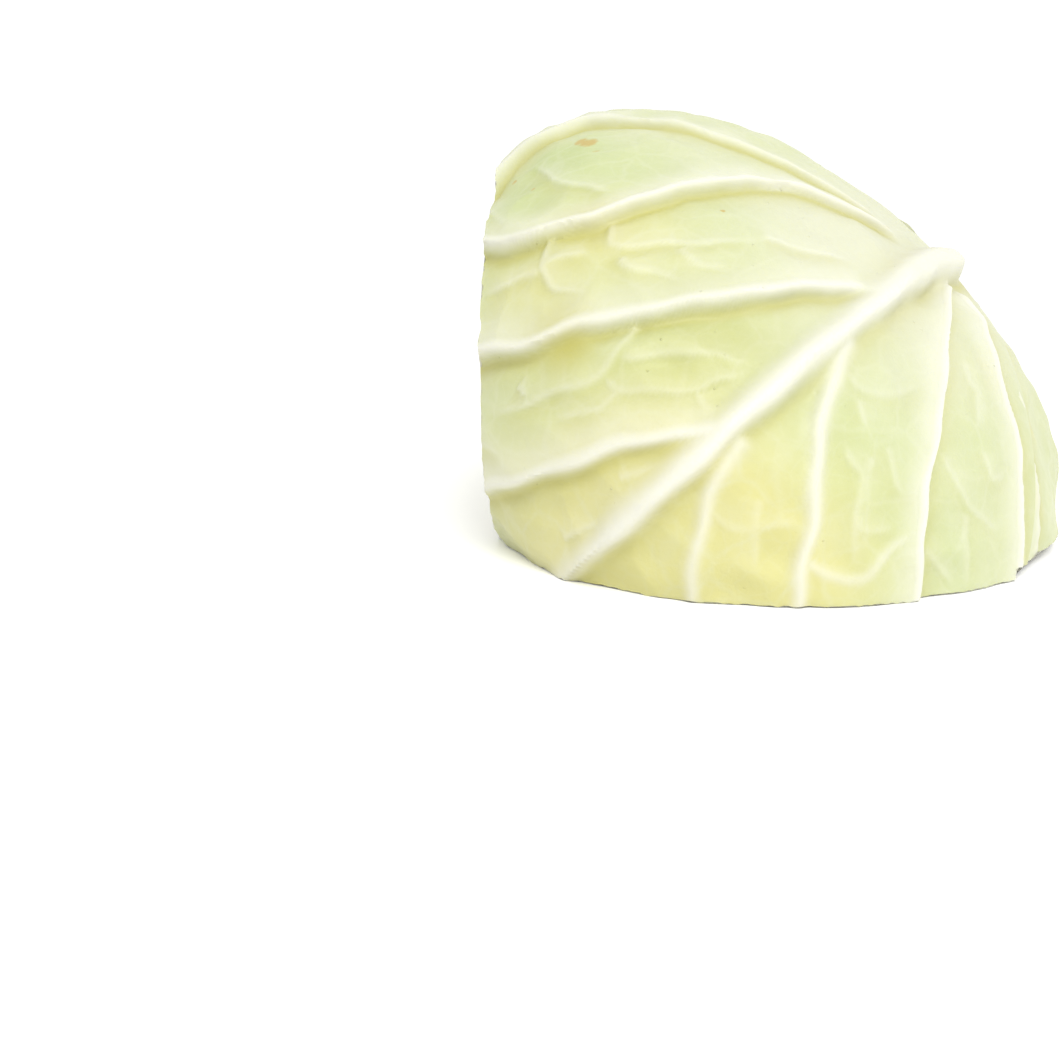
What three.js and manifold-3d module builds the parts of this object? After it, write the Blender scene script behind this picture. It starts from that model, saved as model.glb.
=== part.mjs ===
// A large cut piece of a flat round cabbage head, standing on its lower cut face.
// Millimetres, +Z up. +Y runs away from the side that the wrapper leaf's midrib is on,
// +X runs from the upright cut towards the stem end. The origin is the middle of the
// piece's footprint box, on the surface that it stands on.
import * as THREE from "three";
import { mergeVertices } from "three/addons/utils/BufferGeometryUtils.js";
import Module from "manifold-3d";

const wasm = await Module();
wasm.setup();
const { degToRad, radToDeg, lerp, smoothstep } = THREE.MathUtils;

// The whole head is a spheroid, flatter along its stem.
const HEAD_RADIUS = 117.5;
const HEAD_HALF_HEIGHT = 77.3;
const HEAD_CENTRE = new THREE.Vector3(-10.2, 1.7, 25.6);

// The stem end points up to the right. Latitude is measured from it, longitude round it
// from the side where the wrapper leaf's midrib runs.
const STEM_END = new THREE.Vector3(0.6658, -0.2369, 0.7075).normalize();
const MIDRIB_SIDE = squareTo(STEM_END, new THREE.Vector3(-0.296, -0.9543, -0.041));
const ACROSS = new THREE.Vector3().crossVectors(STEM_END, MIDRIB_SIDE);

// Knife cuts: one level, which the piece stands on, and one nearly upright, leaning out
// at its top. The level cut was made from two sides, and past STEP_X it runs higher.
const UPRIGHT_CUT_X = -86.4;
const UPRIGHT_CUT_LEAN = 1.6;
const STEP_X = 49.8;
const STEP_HEIGHT = 2.9;
const STEP_SLOPE = 1.5;
const CUTTER_REACH = 400;

// Places where the head swells past the spheroid or falls short of it.
const SWELLS = [
  { lat: 63, lon: -83, rise: 1.9, spread: 12 },
  { lat: 87, lon: -74, rise: -3.0, spread: 8 },
  { lat: 84, lon: -56, rise: -3.4, spread: 6 },
  { lat: 24, lon: -104, rise: -1.2, spread: 9 },
  { lat: 9, lon: -125, rise: -1.6, spread: 5 },
  { lat: 15, lon: 116, rise: -1.8, spread: 6 },
  { lat: 34, lon: 95, rise: 2.4, spread: 9 },
  { lat: 60, lon: 86, rise: -3.0, spread: 7 },
];

// Leaves lie in the head like shells, each a cap about its own centre. The edge of a
// leaf thins to nothing over EDGE_TAPER degrees and is trimmed where EDGE_LEVEL is left.
// The outer ones are drawn on a finer grid of directions, stepped in degrees.
const LEAF_COUNT = 24;
const FINE_LEAVES = 3;
const FINE_STEP = 11.25;
const COARSE_STEP = 22.5;
const EDGE_TAPER = 14;
const EDGE_LEVEL = 0.4;
const OUTER_LEAF = { thickness: 2.8, gap: 0.8 };
const INNER_LEAF = { thickness: 6.8, gap: 2.2 };
const POLE_THINNING = 0.4;

// Each leaf is thicker by up to MIDRIB_BULGE within about MIDRIB_SPREAD degrees of its
// middle, on its own side of the stem end.
const MIDRIB_BULGE = 1.6;
const MIDRIB_SPREAD = 9;
const OWN_SIDE = 0.4;

// An edge that would cut a grid triangle nearer to its corner than this share of the side
// is moved in to it, so that no sliver is left.
const NEAREST_CORNER = 0.12;

// The three leaves that show outside: where each is centred, how far it reaches, and the
// longitude of its midrib. The second has lost its foot, trimmed off with the stem.
const OUTSIDE_LEAVES = [
  { lat: 80, lon: -33, reach: 82, foot: 0, wave: 1.2, midrib: 0 },
  { lat: 82, lon: 112, reach: 94, foot: 18, wave: 2.5, midrib: 150 },
  { lat: 78, lon: -150, reach: 104, foot: 0, wave: 3, midrib: -138 },
];

// The packed leaves inside, each about LEAF_TURN degrees round the stem from the last.
const PACKED_LEAVES = { lat: [74, 82], sway: 8, reach: [100, 110], wave: 4 };
const LEAF_TURN = 135;
const LEAF_SEED = 41;

// The folds of the packed leaves: none at the outside, growing inwards until they are
// FULL_FOLDS below it.
const FOLD_WAVES = [
  { push: [0.9, 0.2, 0.4], along: [0.2, 1, 0.35], length: 61, phase: 0.4 },
  { push: [0.1, 0.9, -0.3], along: [1, -0.25, 0.5], length: 53, phase: 2.1 },
  { push: [-0.3, 0.2, 0.9], along: [0.7, 0.7, -0.6], length: 47, phase: 4.0 },
];
const FOLD_DEPTH = 2.4;
const FULL_FOLDS = 40;

// Solid core of the stem, cut flush at the stem end and a little behind the midrib. Only
// the wrapper leaf's foot lies over the near edge of its stump. The other leaves are cut
// back round it up to STUMP_CLEAR above.
const CORE = { radius: 14, tip: 7, top: 75.6, bottom: 14, offset: -5, sides: 12, gap: 0.4 };
const STUMP_CLEAR = 12;

// Ribs of the wrapper leaf: their route on the head as latitude and longitude, their
// width and height where they start and where they end. Their section is given in shares
// of width and height, and their ends shrink to RIB_END of it, but the midrib starts with
// a blunt nose. A rib is rooted in the leaf by RIB_ROOT of the leaf's thickness. Its
// direction is taken between points a share of NEARBY before and after.
const RIB_STATION = 20;
const RIB_ROOT = 0.45;
const RIB_END = 0.45;
const NEARBY = 0.01;
const RIB_SECTION = [[-0.5, 0], [-0.32, 0.72], [0, 1], [0.32, 0.72], [0.5, 0]];
const WRAPPER_RIBS = [
  {
    name: "midrib",
    route: [[6.5, 28], [13, 12], [24, 2], [44, -1], [63, 0], [76, 0], [93, 0], [112, 0]],
    width: [19, 11],
    height: [6.8, 3],
    nose: 0.8,
  },
  {
    name: "top_left",
    route: [[14, -26], [22, -44], [34, -50], [44, -54], [55, -62], [67, -68], [77, -64], [90, -55]],
    width: [9, 6],
    height: [2.6, 2.4],
  },
  {
    name: "upper_left",
    route: [[15, -14], [24, -32], [39, -41], [54, -38.5], [66, -36], [80, -39], [96, -49]],
    width: [9, 6],
    height: [2.6, 2.6],
  },
  {
    name: "middle_left",
    route: [[36, -1], [45, -3.5], [55, -10], [70, -17], [83, -23], [96, -32], [110, -42]],
    width: [9, 6],
    height: [2.6, 2.6],
  },
  {
    name: "lower_left",
    route: [[70, -0.5], [79, -3], [87, -8], [97, -12], [110, -20]],
    width: [8, 6],
    height: [2.2, 2.2],
  },
  {
    name: "near_right",
    route: [[15, 14], [22, 18], [42, 19.3], [61, 24], [75, 32], [88, 40]],
    width: [8, 5],
    height: [2.6, 1.8],
  },
  {
    name: "far_right",
    route: [[14, 22], [20, 28.5], [27, 35], [36, 41], [49, 48], [67, 49]],
    width: [8, 5],
    height: [2.4, 1.8],
  },
  {
    name: "branch_right",
    route: [[54, 0.5], [64, 4.3], [77, 14], [85, 19.5], [95, 27]],
    width: [6, 4],
    height: [1.8, 1.4],
  },
  {
    name: "branch_low",
    route: [[74, 0.5], [82, 2.6], [93, 11], [104, 20]],
    width: [6, 4],
    height: [1.8, 1.4],
  },
];

// The other outside leaves have their ribs by rule: a midrib between two latitudes, and
// side ribs that leave it in turn to either side, SIDE_RIB_STEP apart, by routes given as
// steps from where they start. Turns hold the sides that they take in turn, 0 for none.
const RULED_MIDRIBS = [
  { leaf: 1, from: 28, to: 112, width: [13, 8], height: [1.6, 3.2], turns: [0, 1] },
  { leaf: 2, from: 22, to: 112, width: [13, 8], height: [3.6, 2.6], turns: [-1, 1] },
];
const SIDE_RIBS = 6;
const SIDE_RIB_STEP = 11;
const SIDE_RIB_ROUTE = [[0, 0], [11, 9], [27, 20], [46, 29]];
const SIDE_RIB = { width: [7, 5], height: [2.2, 1.6] };

// A rib stops where a leaf outside it has more than this share of its thickness.
const BARE_SHARE = 0.05;

const WRAPPER_GREEN = 0xdde6ae;
const HEAD_GREEN = 0xe6ebc0;
const HEART_YELLOW = 0xf0edc8;
const STEM_WHITE = 0xf2efd8;

/** The unit vector nearest to a given one and square to an axis. */
function squareTo(axis, vector) {
  return vector.clone().addScaledVector(axis, -vector.dot(axis)).normalize();
}

/** A repeatable stream of numbers from 0 to 1. */
function seededRandom(seed) {
  let state = seed;
  return () => {
    state = (state * 16807) % 2147483647;
    return state / 2147483647;
  };
}

/** The direction from the head's centre at a latitude and longitude, in degrees. */
function direction(lat, lon) {
  const away = degToRad(lat);
  const round = degToRad(lon);
  return STEM_END.clone()
    .multiplyScalar(Math.cos(away))
    .addScaledVector(MIDRIB_SIDE, Math.sin(away) * Math.cos(round))
    .addScaledVector(ACROSS, Math.sin(away) * Math.sin(round));
}

/** Degrees between two unit vectors. */
function degreesBetween(a, b) {
  return radToDeg(Math.acos(THREE.MathUtils.clamp(a.dot(b), -1, 1)));
}

const swellCentres = SWELLS.map(({ lat, lon }) => direction(lat, lon));

/** How far the head's surface is from its centre in a direction. */
function headRadius(dir) {
  const along = dir.dot(STEM_END);
  const across = Math.sqrt(Math.max(0, 1 - along * along));
  const spheroid = 1 / Math.hypot(along / HEAD_HALF_HEIGHT, across / HEAD_RADIUS);
  return SWELLS.reduce((radius, { rise, spread }, i) => {
    const off = degreesBetween(dir, swellCentres[i]) / spread;
    return radius + rise * Math.exp(-off * off / 2);
  }, spheroid);
}

/** The outward normal of the head's spheroid in a direction. */
function headNormal(dir) {
  const along = dir.dot(STEM_END);
  const normal = dir.clone().addScaledVector(STEM_END, -along).divideScalar(HEAD_RADIUS ** 2);
  return normal.addScaledVector(STEM_END, along / HEAD_HALF_HEIGHT ** 2).normalize();
}

/** Pushes a point about by the folds, more the deeper it lies. */
function folded(point, share) {
  const moved = point.clone();
  for (const { push, along, length, phase } of FOLD_WAVES) {
    const travel = new THREE.Vector3(...along).normalize().dot(point);
    const wave = Math.sin((2 * Math.PI * travel) / length + phase);
    moved.addScaledVector(new THREE.Vector3(...push), FOLD_DEPTH * share * wave);
  }
  return moved;
}

/** The point at a depth below the head's surface, in millimetres at the widest part. */
function pointAt(dir, depth) {
  const scale = 1 - depth / HEAD_RADIUS;
  const point = dir.clone().multiplyScalar(headRadius(dir) * scale);
  return folded(point, Math.min(1, depth / FULL_FOLDS) * scale).add(HEAD_CENTRE);
}

/** Every leaf from the outside in: centre, reach, waved edge, thickness and gap. */
function describeLeaves() {
  const random = seededRandom(LEAF_SEED);
  const { lat, sway, reach, wave } = PACKED_LEAVES;
  const leaves = [];
  for (let i = 0; i < LEAF_COUNT; i++) {
    const share = i / (LEAF_COUNT - 1);
    const lon = OUTSIDE_LEAVES[2].lon + LEAF_TURN * (i - 2) + lerp(-sway, sway, random());
    const plan = OUTSIDE_LEAVES[i] ?? {
      lat: lerp(...lat, random()),
      lon,
      reach: lerp(...reach, random()),
      foot: 0,
      wave,
      midrib: lon,
    };
    leaves.push({
      ...plan,
      centre: direction(plan.lat, plan.lon),
      midribSide: direction(90, plan.midrib),
      thickness: lerp(OUTER_LEAF.thickness, INNER_LEAF.thickness, share),
      gap: lerp(OUTER_LEAF.gap, INNER_LEAF.gap, share),
      phase: 2 * Math.PI * random(),
    });
  }
  return leaves;
}

/** How much of a leaf there is in a direction: 1 inside its edge, 0 outside. */
function leafShare(leaf, dir) {
  const { centre, reach, wave, phase, foot } = leaf;
  const side = squareTo(centre, STEM_END);
  const over = new THREE.Vector3().crossVectors(centre, side);
  const turn = Math.atan2(dir.dot(over), dir.dot(side));
  const edge = reach + wave * (Math.sin(3 * turn + phase) + 0.6 * Math.sin(5 * turn - 2 * phase));
  const share = smoothstep(edge - degreesBetween(dir, centre), 0, EDGE_TAPER);
  if (!foot) return share;
  const fromStem = degreesBetween(dir, STEM_END);
  return share * smoothstep(fromStem, foot - EDGE_TAPER / 3, foot + EDGE_TAPER / 3);
}

/** A leaf's thickness, and the room it takes with the gap under it, in a direction. */
function leafBuild(leaf, dir) {
  const along = dir.dot(STEM_END);
  const share = leafShare(leaf, dir) * (1 - POLE_THINNING * along * along);
  const ribPlane = new THREE.Vector3().crossVectors(STEM_END, leaf.midribSide);
  const offRib = radToDeg(Math.asin(THREE.MathUtils.clamp(dir.dot(ribPlane), -1, 1)));
  const onLeafSide = smoothstep(dir.dot(leaf.midribSide), 0, OWN_SIDE);
  const rib = MIDRIB_BULGE * Math.exp(-((offRib / MIDRIB_SPREAD) ** 2)) * onLeafSide;
  const thickness = (leaf.thickness + rib) * share;
  return { thickness, room: thickness + leaf.gap * share };
}

/** The grid of directions round the head: its nodes, and triangles facing outwards. */
function directionGrid(step) {
  const rows = 180 / step;
  const columns = 360 / step;
  const nodes = [direction(0, 0)];
  for (let row = 1; row < rows; row++) {
    for (let column = 0; column < columns; column++) {
      nodes.push(direction(row * step, column * step));
    }
  }
  nodes.push(direction(180, 0));
  const last = nodes.length - 1;
  const at = (row, column) => 1 + (row - 1) * columns + (column % columns);
  const triangles = [];
  for (let column = 0; column < columns; column++) {
    triangles.push([0, at(1, column), at(1, column + 1)]);
    for (let row = 1; row < rows - 1; row++) {
      triangles.push([at(row, column), at(row + 1, column), at(row + 1, column + 1)]);
      triangles.push([at(row, column), at(row + 1, column + 1), at(row, column + 1)]);
    }
    triangles.push([at(rows - 1, column), last, at(rows - 1, column + 1)]);
  }
  return { step, nodes, triangles };
}

/** A closed leaf: outer and inner skins over part of a grid, joined along the edge. */
function leafGeometry(grid, shares, outer, inner) {
  const positions = [];
  const indices = [];
  const corners = new Map();
  const put = (key, top, under) => {
    if (!corners.has(key)) {
      corners.set(key, positions.length / 3);
      positions.push(...top.toArray(), ...under.toArray());
    }
    return corners.get(key);
  };
  const whole = (i) => put(String(i), outer[i], inner[i]);
  const split = (i, j) => {
    const [a, b] = i < j ? [i, j] : [j, i];
    const exact = (EDGE_LEVEL - shares[a]) / (shares[b] - shares[a]);
    const t = THREE.MathUtils.clamp(exact, NEAREST_CORNER, 1 - NEAREST_CORNER);
    const top = outer[a].clone().lerp(outer[b], t);
    const under = inner[a].clone().lerp(inner[b], t);
    return put(a + "-" + b, top, under);
  };
  const inside = (i) => shares[i] >= EDGE_LEVEL;
  for (const triangle of grid.triangles) {
    const outline = [];
    const edge = [];
    triangle.forEach((i, k) => {
      const j = triangle[(k + 1) % 3];
      if (inside(i)) outline.push(whole(i));
      if (inside(i) !== inside(j)) {
        outline.push(split(i, j));
        edge.push(outline.length - 1);
      }
    });
    for (let k = 2; k < outline.length; k++) {
      indices.push(outline[0], outline[k - 1], outline[k]);
      indices.push(outline[0] + 1, outline[k] + 1, outline[k - 1] + 1);
    }
    if (edge.length === 2) {
      const follows = (edge[0] + 1) % outline.length === edge[1];
      const [from, to] = follows ? edge : [edge[1], edge[0]];
      const a = outline[from];
      const b = outline[to];
      indices.push(b, a, a + 1, b, a + 1, b + 1);
    }
  }
  return buffer(positions, indices);
}

/** An indexed geometry from plain lists. */
function buffer(positions, indices) {
  return new THREE.BufferGeometry()
    .setAttribute("position", new THREE.Float32BufferAttribute(positions, 3))
    .setIndex(indices);
}

/** A three.js geometry as a solid for joining and cutting. */
function solidFrom(geometry) {
  const bare = geometry.clone();
  bare.deleteAttribute("normal");
  bare.deleteAttribute("uv");
  const merged = mergeVertices(bare, 1e-3);
  return new wasm.Manifold(
    new wasm.Mesh({
      numProp: 3,
      vertProperties: merged.attributes.position.array,
      triVerts: new Uint32Array(merged.index.array),
    }),
  );
}

/** A solid back as a three.js geometry with flat faces. */
function geometryFrom(solid) {
  const { vertProperties, triVerts } = solid.getMesh();
  const geometry = buffer(vertProperties, Array.from(triVerts)).toNonIndexed();
  geometry.computeVertexNormals();
  return geometry;
}

/** A large box with one lower corner edge at the origin, turned about it in degrees. */
function cutterBox(x, z, turn) {
  const box = new THREE.BoxGeometry(CUTTER_REACH, CUTTER_REACH, CUTTER_REACH);
  box.translate((x * CUTTER_REACH) / 2, 0, (z * CUTTER_REACH) / 2);
  return box.rotateY(degToRad(turn));
}

/** The space on the kept side of the knife cuts. */
function keptSide() {
  const above = solidFrom(cutterBox(1, 1, 0).translate(UPRIGHT_CUT_X - HEAD_RADIUS / 2, 0, 0));
  const upright = cutterBox(1, 0, -UPRIGHT_CUT_LEAN).translate(UPRIGHT_CUT_X, 0, 0);
  const step = cutterBox(1, -1, -STEP_SLOPE).translate(STEP_X, 0, STEP_HEIGHT);
  return above.intersect(solidFrom(upright)).subtract(solidFrom(step));
}

/** The core, or with a gap added the room that the leaves leave round it. */
function coreGeometry(gap) {
  const { radius, tip, top, bottom, sides } = CORE;
  const length = top - bottom + 2 * gap;
  const core = new THREE.CylinderGeometry(radius + gap, tip + gap, length, sides);
  core.translate(0, (top + bottom) / 2, 0);
  return placedOnStem(core);
}

/** The open space over the stump. */
function stumpSpace() {
  const { radius, top, gap, sides } = CORE;
  const space = new THREE.CylinderGeometry(radius + gap, radius + gap, STUMP_CLEAR, sides);
  space.translate(0, top + STUMP_CLEAR / 2, 0);
  return placedOnStem(space);
}

/** A geometry made along +Y, turned to the stem and moved to the core's place. */
function placedOnStem(geometry) {
  const frame = new THREE.Matrix4().makeBasis(MIDRIB_SIDE, STEM_END, ACROSS.clone().negate());
  const foot = HEAD_CENTRE.clone().addScaledVector(MIDRIB_SIDE, CORE.offset);
  return geometry.applyMatrix4(frame.setPosition(foot));
}

/** The ribs of an outside leaf, listed or by rule, and none for the packed ones. */
function ribsOf(leafNumber) {
  if (leafNumber === 0) return WRAPPER_RIBS;
  return RULED_MIDRIBS.filter(({ leaf }) => leaf === leafNumber).flatMap((midrib) => {
    const lon = OUTSIDE_LEAVES[leafNumber].midrib;
    const middle = [0, 1 / 3, 2 / 3, 1].map((t) => [lerp(midrib.from, midrib.to, t), lon]);
    const sides = Array.from({ length: SIDE_RIBS }, (_, k) => {
      const start = midrib.from + SIDE_RIB_STEP * (k + 0.5);
      const turn = midrib.turns[k % 2];
      const route = SIDE_RIB_ROUTE.map(([down, out]) => [start + down, lon + turn * out]);
      return { ...SIDE_RIB, route, turn };
    });
    return [{ ...midrib, route: middle }, ...sides.filter(({ turn }) => turn !== 0)];
  });
}

/**
 * One rib: a five-sided rounded section swept along its route over the head, as far as the
 * leaves outside its own leave it bare. Null where that is less than two stations.
 */
function ribGeometry({ route, width, height, nose = RIB_END }, leaf, outerLeaves) {
  const curve = new THREE.CatmullRomCurve3(route.map(([lat, lon]) => direction(lat, lon)));
  const whole = Math.max(4, Math.round((curve.getLength() * HEAD_RADIUS) / RIB_STATION));
  const covered = curve.getSpacedPoints(whole).findIndex((point) =>
    outerLeaves.some((outer) => leafShare(outer, point.normalize()) > BARE_SHARE),
  );
  const stations = covered < 0 ? whole : covered - 1;
  if (stations < 2) return null;
  const sides = RIB_SECTION.length;
  const positions = [];
  const indices = [];
  const place = (t) => {
    const dir = curve.getPointAt(THREE.MathUtils.clamp(t, 0, 1)).normalize();
    return dir.clone().multiplyScalar(headRadius(dir)).add(HEAD_CENTRE);
  };
  for (let s = 0; s <= stations; s++) {
    const t = s / whole;
    const dir = curve.getPointAt(t).normalize();
    const normal = headNormal(dir);
    const ahead = place(t + NEARBY).sub(place(t - NEARBY)).normalize();
    const side = new THREE.Vector3().crossVectors(normal, ahead).normalize();
    const end = { 0: nose, [stations]: RIB_END }[s] ?? 1;
    const wide = (lerp(...width, t) * (end + 1)) / 2;
    const high = lerp(...height, t) * end;
    const root = RIB_ROOT * leafBuild(leaf, dir).thickness;
    for (const [across, up] of RIB_SECTION) {
      const point = place(t).addScaledVector(side, across * wide);
      point.addScaledVector(normal, up * (high + root) - root);
      positions.push(...point.toArray());
    }
  }
  for (let s = 0; s < stations; s++) {
    for (let k = 0; k < sides; k++) {
      const a = s * sides + k;
      const b = s * sides + ((k + 1) % sides);
      indices.push(a, a + sides, b, b, a + sides, b + sides);
    }
  }
  const last = stations * sides;
  for (let k = 2; k < sides; k++) {
    indices.push(0, k - 1, k);
    indices.push(last, last + k, last + k - 1);
  }
  return buffer(positions, indices);
}

/** The depths of a fine grid carried to a coarse one, each the deepest of those near it. */
function coarsened(depths, fine, coarse) {
  const within = fine.step * 1.5;
  return coarse.nodes.map((dir) =>
    Math.max(...depths.filter((_, n) => degreesBetween(fine.nodes[n], dir) < within)),
  );
}

/** The leaves as solids from the outside in, and last the bud left at the heart. */
function packHead(leaves) {
  const coarse = directionGrid(COARSE_STEP);
  let grid = directionGrid(FINE_STEP);
  let depths = grid.nodes.map(() => 0);
  const solids = leaves.map((leaf, i) => {
    if (i === FINE_LEAVES) {
      depths = coarsened(depths, grid, coarse);
      grid = coarse;
    }
    const builds = grid.nodes.map((dir) => leafBuild(leaf, dir));
    const shares = grid.nodes.map((dir) => leafShare(leaf, dir));
    const outer = grid.nodes.map((dir, n) => pointAt(dir, depths[n]));
    const inner = grid.nodes.map((dir, n) => pointAt(dir, depths[n] + builds[n].thickness));
    depths = depths.map((depth, n) => depth + builds[n].room);
    const solid = solidFrom(leafGeometry(grid, shares, outer, inner));
    const ribs = ribsOf(i).map((rib) => ribGeometry(rib, leaf, leaves.slice(0, i)));
    const bareRibs = ribs.filter((rib) => rib !== null);
    return bareRibs.reduce((joined, rib) => joined.add(solidFrom(rib)), solid);
  });
  const bud = grid.nodes.flatMap((dir, n) => pointAt(dir, depths[n]).toArray());
  solids.push(solidFrom(buffer(bud, grid.triangles.flat())));
  return solids;
}

/** The largest body of a solid: what a cut leaves loose beside it is dropped. */
function largestBody(solid) {
  return solid.decompose().sort((a, b) => b.volume() - a.volume())[0];
}

/** The name and colour of the n-th piece counted inwards from the outside. */
function lookOf(n) {
  if (n === LEAF_COUNT) return ["heart_bud", HEART_YELLOW];
  if (n < FINE_LEAVES) return ["wrapper_leaf_" + (n + 1), WRAPPER_GREEN];
  return ["head_leaf_" + String(n + 1).padStart(2, "0"), HEAD_GREEN];
}

/** A named mesh with a matt natural finish. */
function piece(name, solid, colour) {
  const material = new THREE.MeshStandardMaterial({ color: colour, roughness: 0.5, metalness: 0 });
  const mesh = new THREE.Mesh(geometryFrom(solid), material);
  mesh.name = name;
  return mesh;
}

const cabbage = new THREE.Group();
const kept = keptSide();
const coreRoom = solidFrom(coreGeometry(CORE.gap));
const stumpRoom = coreRoom.add(solidFrom(stumpSpace()));
packHead(describeLeaves()).forEach((solid, n) => {
  const [name, colour] = lookOf(n);
  const room = n === 0 ? coreRoom : stumpRoom;
  cabbage.add(piece(name, largestBody(solid.subtract(room).intersect(kept)), colour));
});
cabbage.add(piece("core", solidFrom(coreGeometry(0)).intersect(kept), STEM_WHITE));

export default cabbage;
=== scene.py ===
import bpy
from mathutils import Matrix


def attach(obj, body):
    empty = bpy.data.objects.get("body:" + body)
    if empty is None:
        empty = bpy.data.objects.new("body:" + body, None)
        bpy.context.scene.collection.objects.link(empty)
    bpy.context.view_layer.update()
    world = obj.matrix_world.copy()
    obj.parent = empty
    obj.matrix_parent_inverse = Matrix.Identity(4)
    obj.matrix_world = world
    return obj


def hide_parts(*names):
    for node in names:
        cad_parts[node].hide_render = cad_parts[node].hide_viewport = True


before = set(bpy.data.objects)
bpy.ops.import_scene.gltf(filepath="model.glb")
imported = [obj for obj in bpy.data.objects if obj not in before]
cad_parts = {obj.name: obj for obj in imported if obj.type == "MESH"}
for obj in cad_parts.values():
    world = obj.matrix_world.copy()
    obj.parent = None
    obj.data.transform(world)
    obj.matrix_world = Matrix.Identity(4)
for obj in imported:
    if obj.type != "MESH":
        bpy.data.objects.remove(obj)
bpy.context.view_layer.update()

"""The looks of a large cut piece of a flat round cabbage head.

Sizes are in millimetres unless a name says otherwise, and are turned to metres where a
mesh is written. Latitude is measured in degrees from the stem end of the head, longitude
round it from the side where the outermost leaf has its midrib. Directions are unit
vectors from the head's middle, in rows.
"""
import logging
import math
from dataclasses import dataclass
from enum import Enum
from typing import ClassVar

import bpy
import numpy as np
from mathutils import Matrix

log = logging.getLogger("cabbage")
MM = 0.001

Array = np.ndarray
Span = tuple[float, float]
Triple = tuple[float, float, float]
Route = tuple[Span, ...]
Piece = bpy.types.Object
Material = bpy.types.Material
Socket = bpy.types.NodeSocket


def unit(vectors: Array) -> Array:
    """Returns vectors of length 1 along the last axis."""
    vectors = np.asarray(vectors, float)
    return vectors / np.linalg.norm(vectors, axis=-1, keepdims=True)


def smoothstep(value: Array, low: float, high: float) -> Array:
    """Returns 0 below low, 1 above high, and a smooth rise between them."""
    share = np.clip((np.asarray(value, float) - low) / (high - low), 0.0, 1.0)
    return share * share * (3.0 - 2.0 * share)


def lerp(low: float, high: float, share: Array) -> Array:
    """Returns the value at a share of the way from low to high."""
    return low + (high - low) * share


def bell(off: Array, spread: Array, power: float = 2.0) -> Array:
    """Returns 1 at 0, falling to nothing a few spreads away."""
    return np.exp(-((off / spread) ** power))


def wrap(turn: Array) -> Array:
    """Brings angles in degrees to between -180 and 180."""
    return (turn + 180) % 360 - 180


def angle(dirs: Array, towards: Array) -> Array:
    """Returns the degrees between directions and one of them."""
    return np.degrees(np.arccos(np.clip(dirs @ towards, -1, 1)))


def linear(hex_colour: str) -> tuple[float, float, float, float]:
    """Turns an sRGB hex colour to linear red, green, blue and alpha.

    Args:
        hex_colour: Six hex digits, such as "e6ebc0".

    Returns:
        The linear colour with an alpha of 1.
    """
    parts = [int(hex_colour[i : i + 2], 16) / 255 for i in (0, 2, 4)]
    red, green, blue = (p / 12.92 if p <= 0.04045 else ((p + 0.055) / 1.055) ** 2.4 for p in parts)
    return red, green, blue, 1.0


class Draws:
    """A repeatable stream of numbers from 0 to 1."""

    MULTIPLIER = 16807
    MODULUS = 2147483647

    def __init__(self, seed: int) -> None:
        """Starts the stream at a seed."""
        self.state = seed

    def between(self, low: float, high: float) -> float:
        """Returns the next number, spread from low to high."""
        self.state = (self.state * self.MULTIPLIER) % self.MODULUS
        return low + (high - low) * (self.state / self.MODULUS)


class Waves:
    """Smooth noise: a few sine waves that run in drawn directions."""

    LENGTHS = (0.7, 1.4)

    def __init__(self, seed: int, length: float, count: int = 5) -> None:
        """Draws a count of waves of a typical length in millimetres."""
        draws = Draws(seed)
        full = 2 * math.pi
        tilt, turn = np.array([[draws.between(-1, 1), draws.between(0, full)] for _ in range(count)]).T
        flat = np.sqrt(1 - tilt**2)
        runs = np.stack([flat * np.cos(turn), flat * np.sin(turn), tilt], 1)
        lengths = np.array([length * draws.between(*self.LENGTHS) for _ in range(count)])
        self.steps = runs * (full / lengths)[:, None]
        self.phases = np.array([draws.between(0, full) for _ in range(count)])
        self.share = math.sqrt(2 / count)

    def at(self, points: Array) -> Array:
        """Returns the noise at points, mostly within -1 to 1."""
        return np.sin(points @ self.steps.T + self.phases).sum(-1) * self.share


# The head and its leaves, as the solids have them


@dataclass(frozen=True)
class Swell:
    """A place where the head stands out from its spheroid or falls short of it."""

    lat: float
    lon: float
    rise: float
    spread: float


@dataclass(frozen=True)
class FoldWave:
    """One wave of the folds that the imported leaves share."""

    push: Triple
    along: Triple
    length: float
    phase: float


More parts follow.
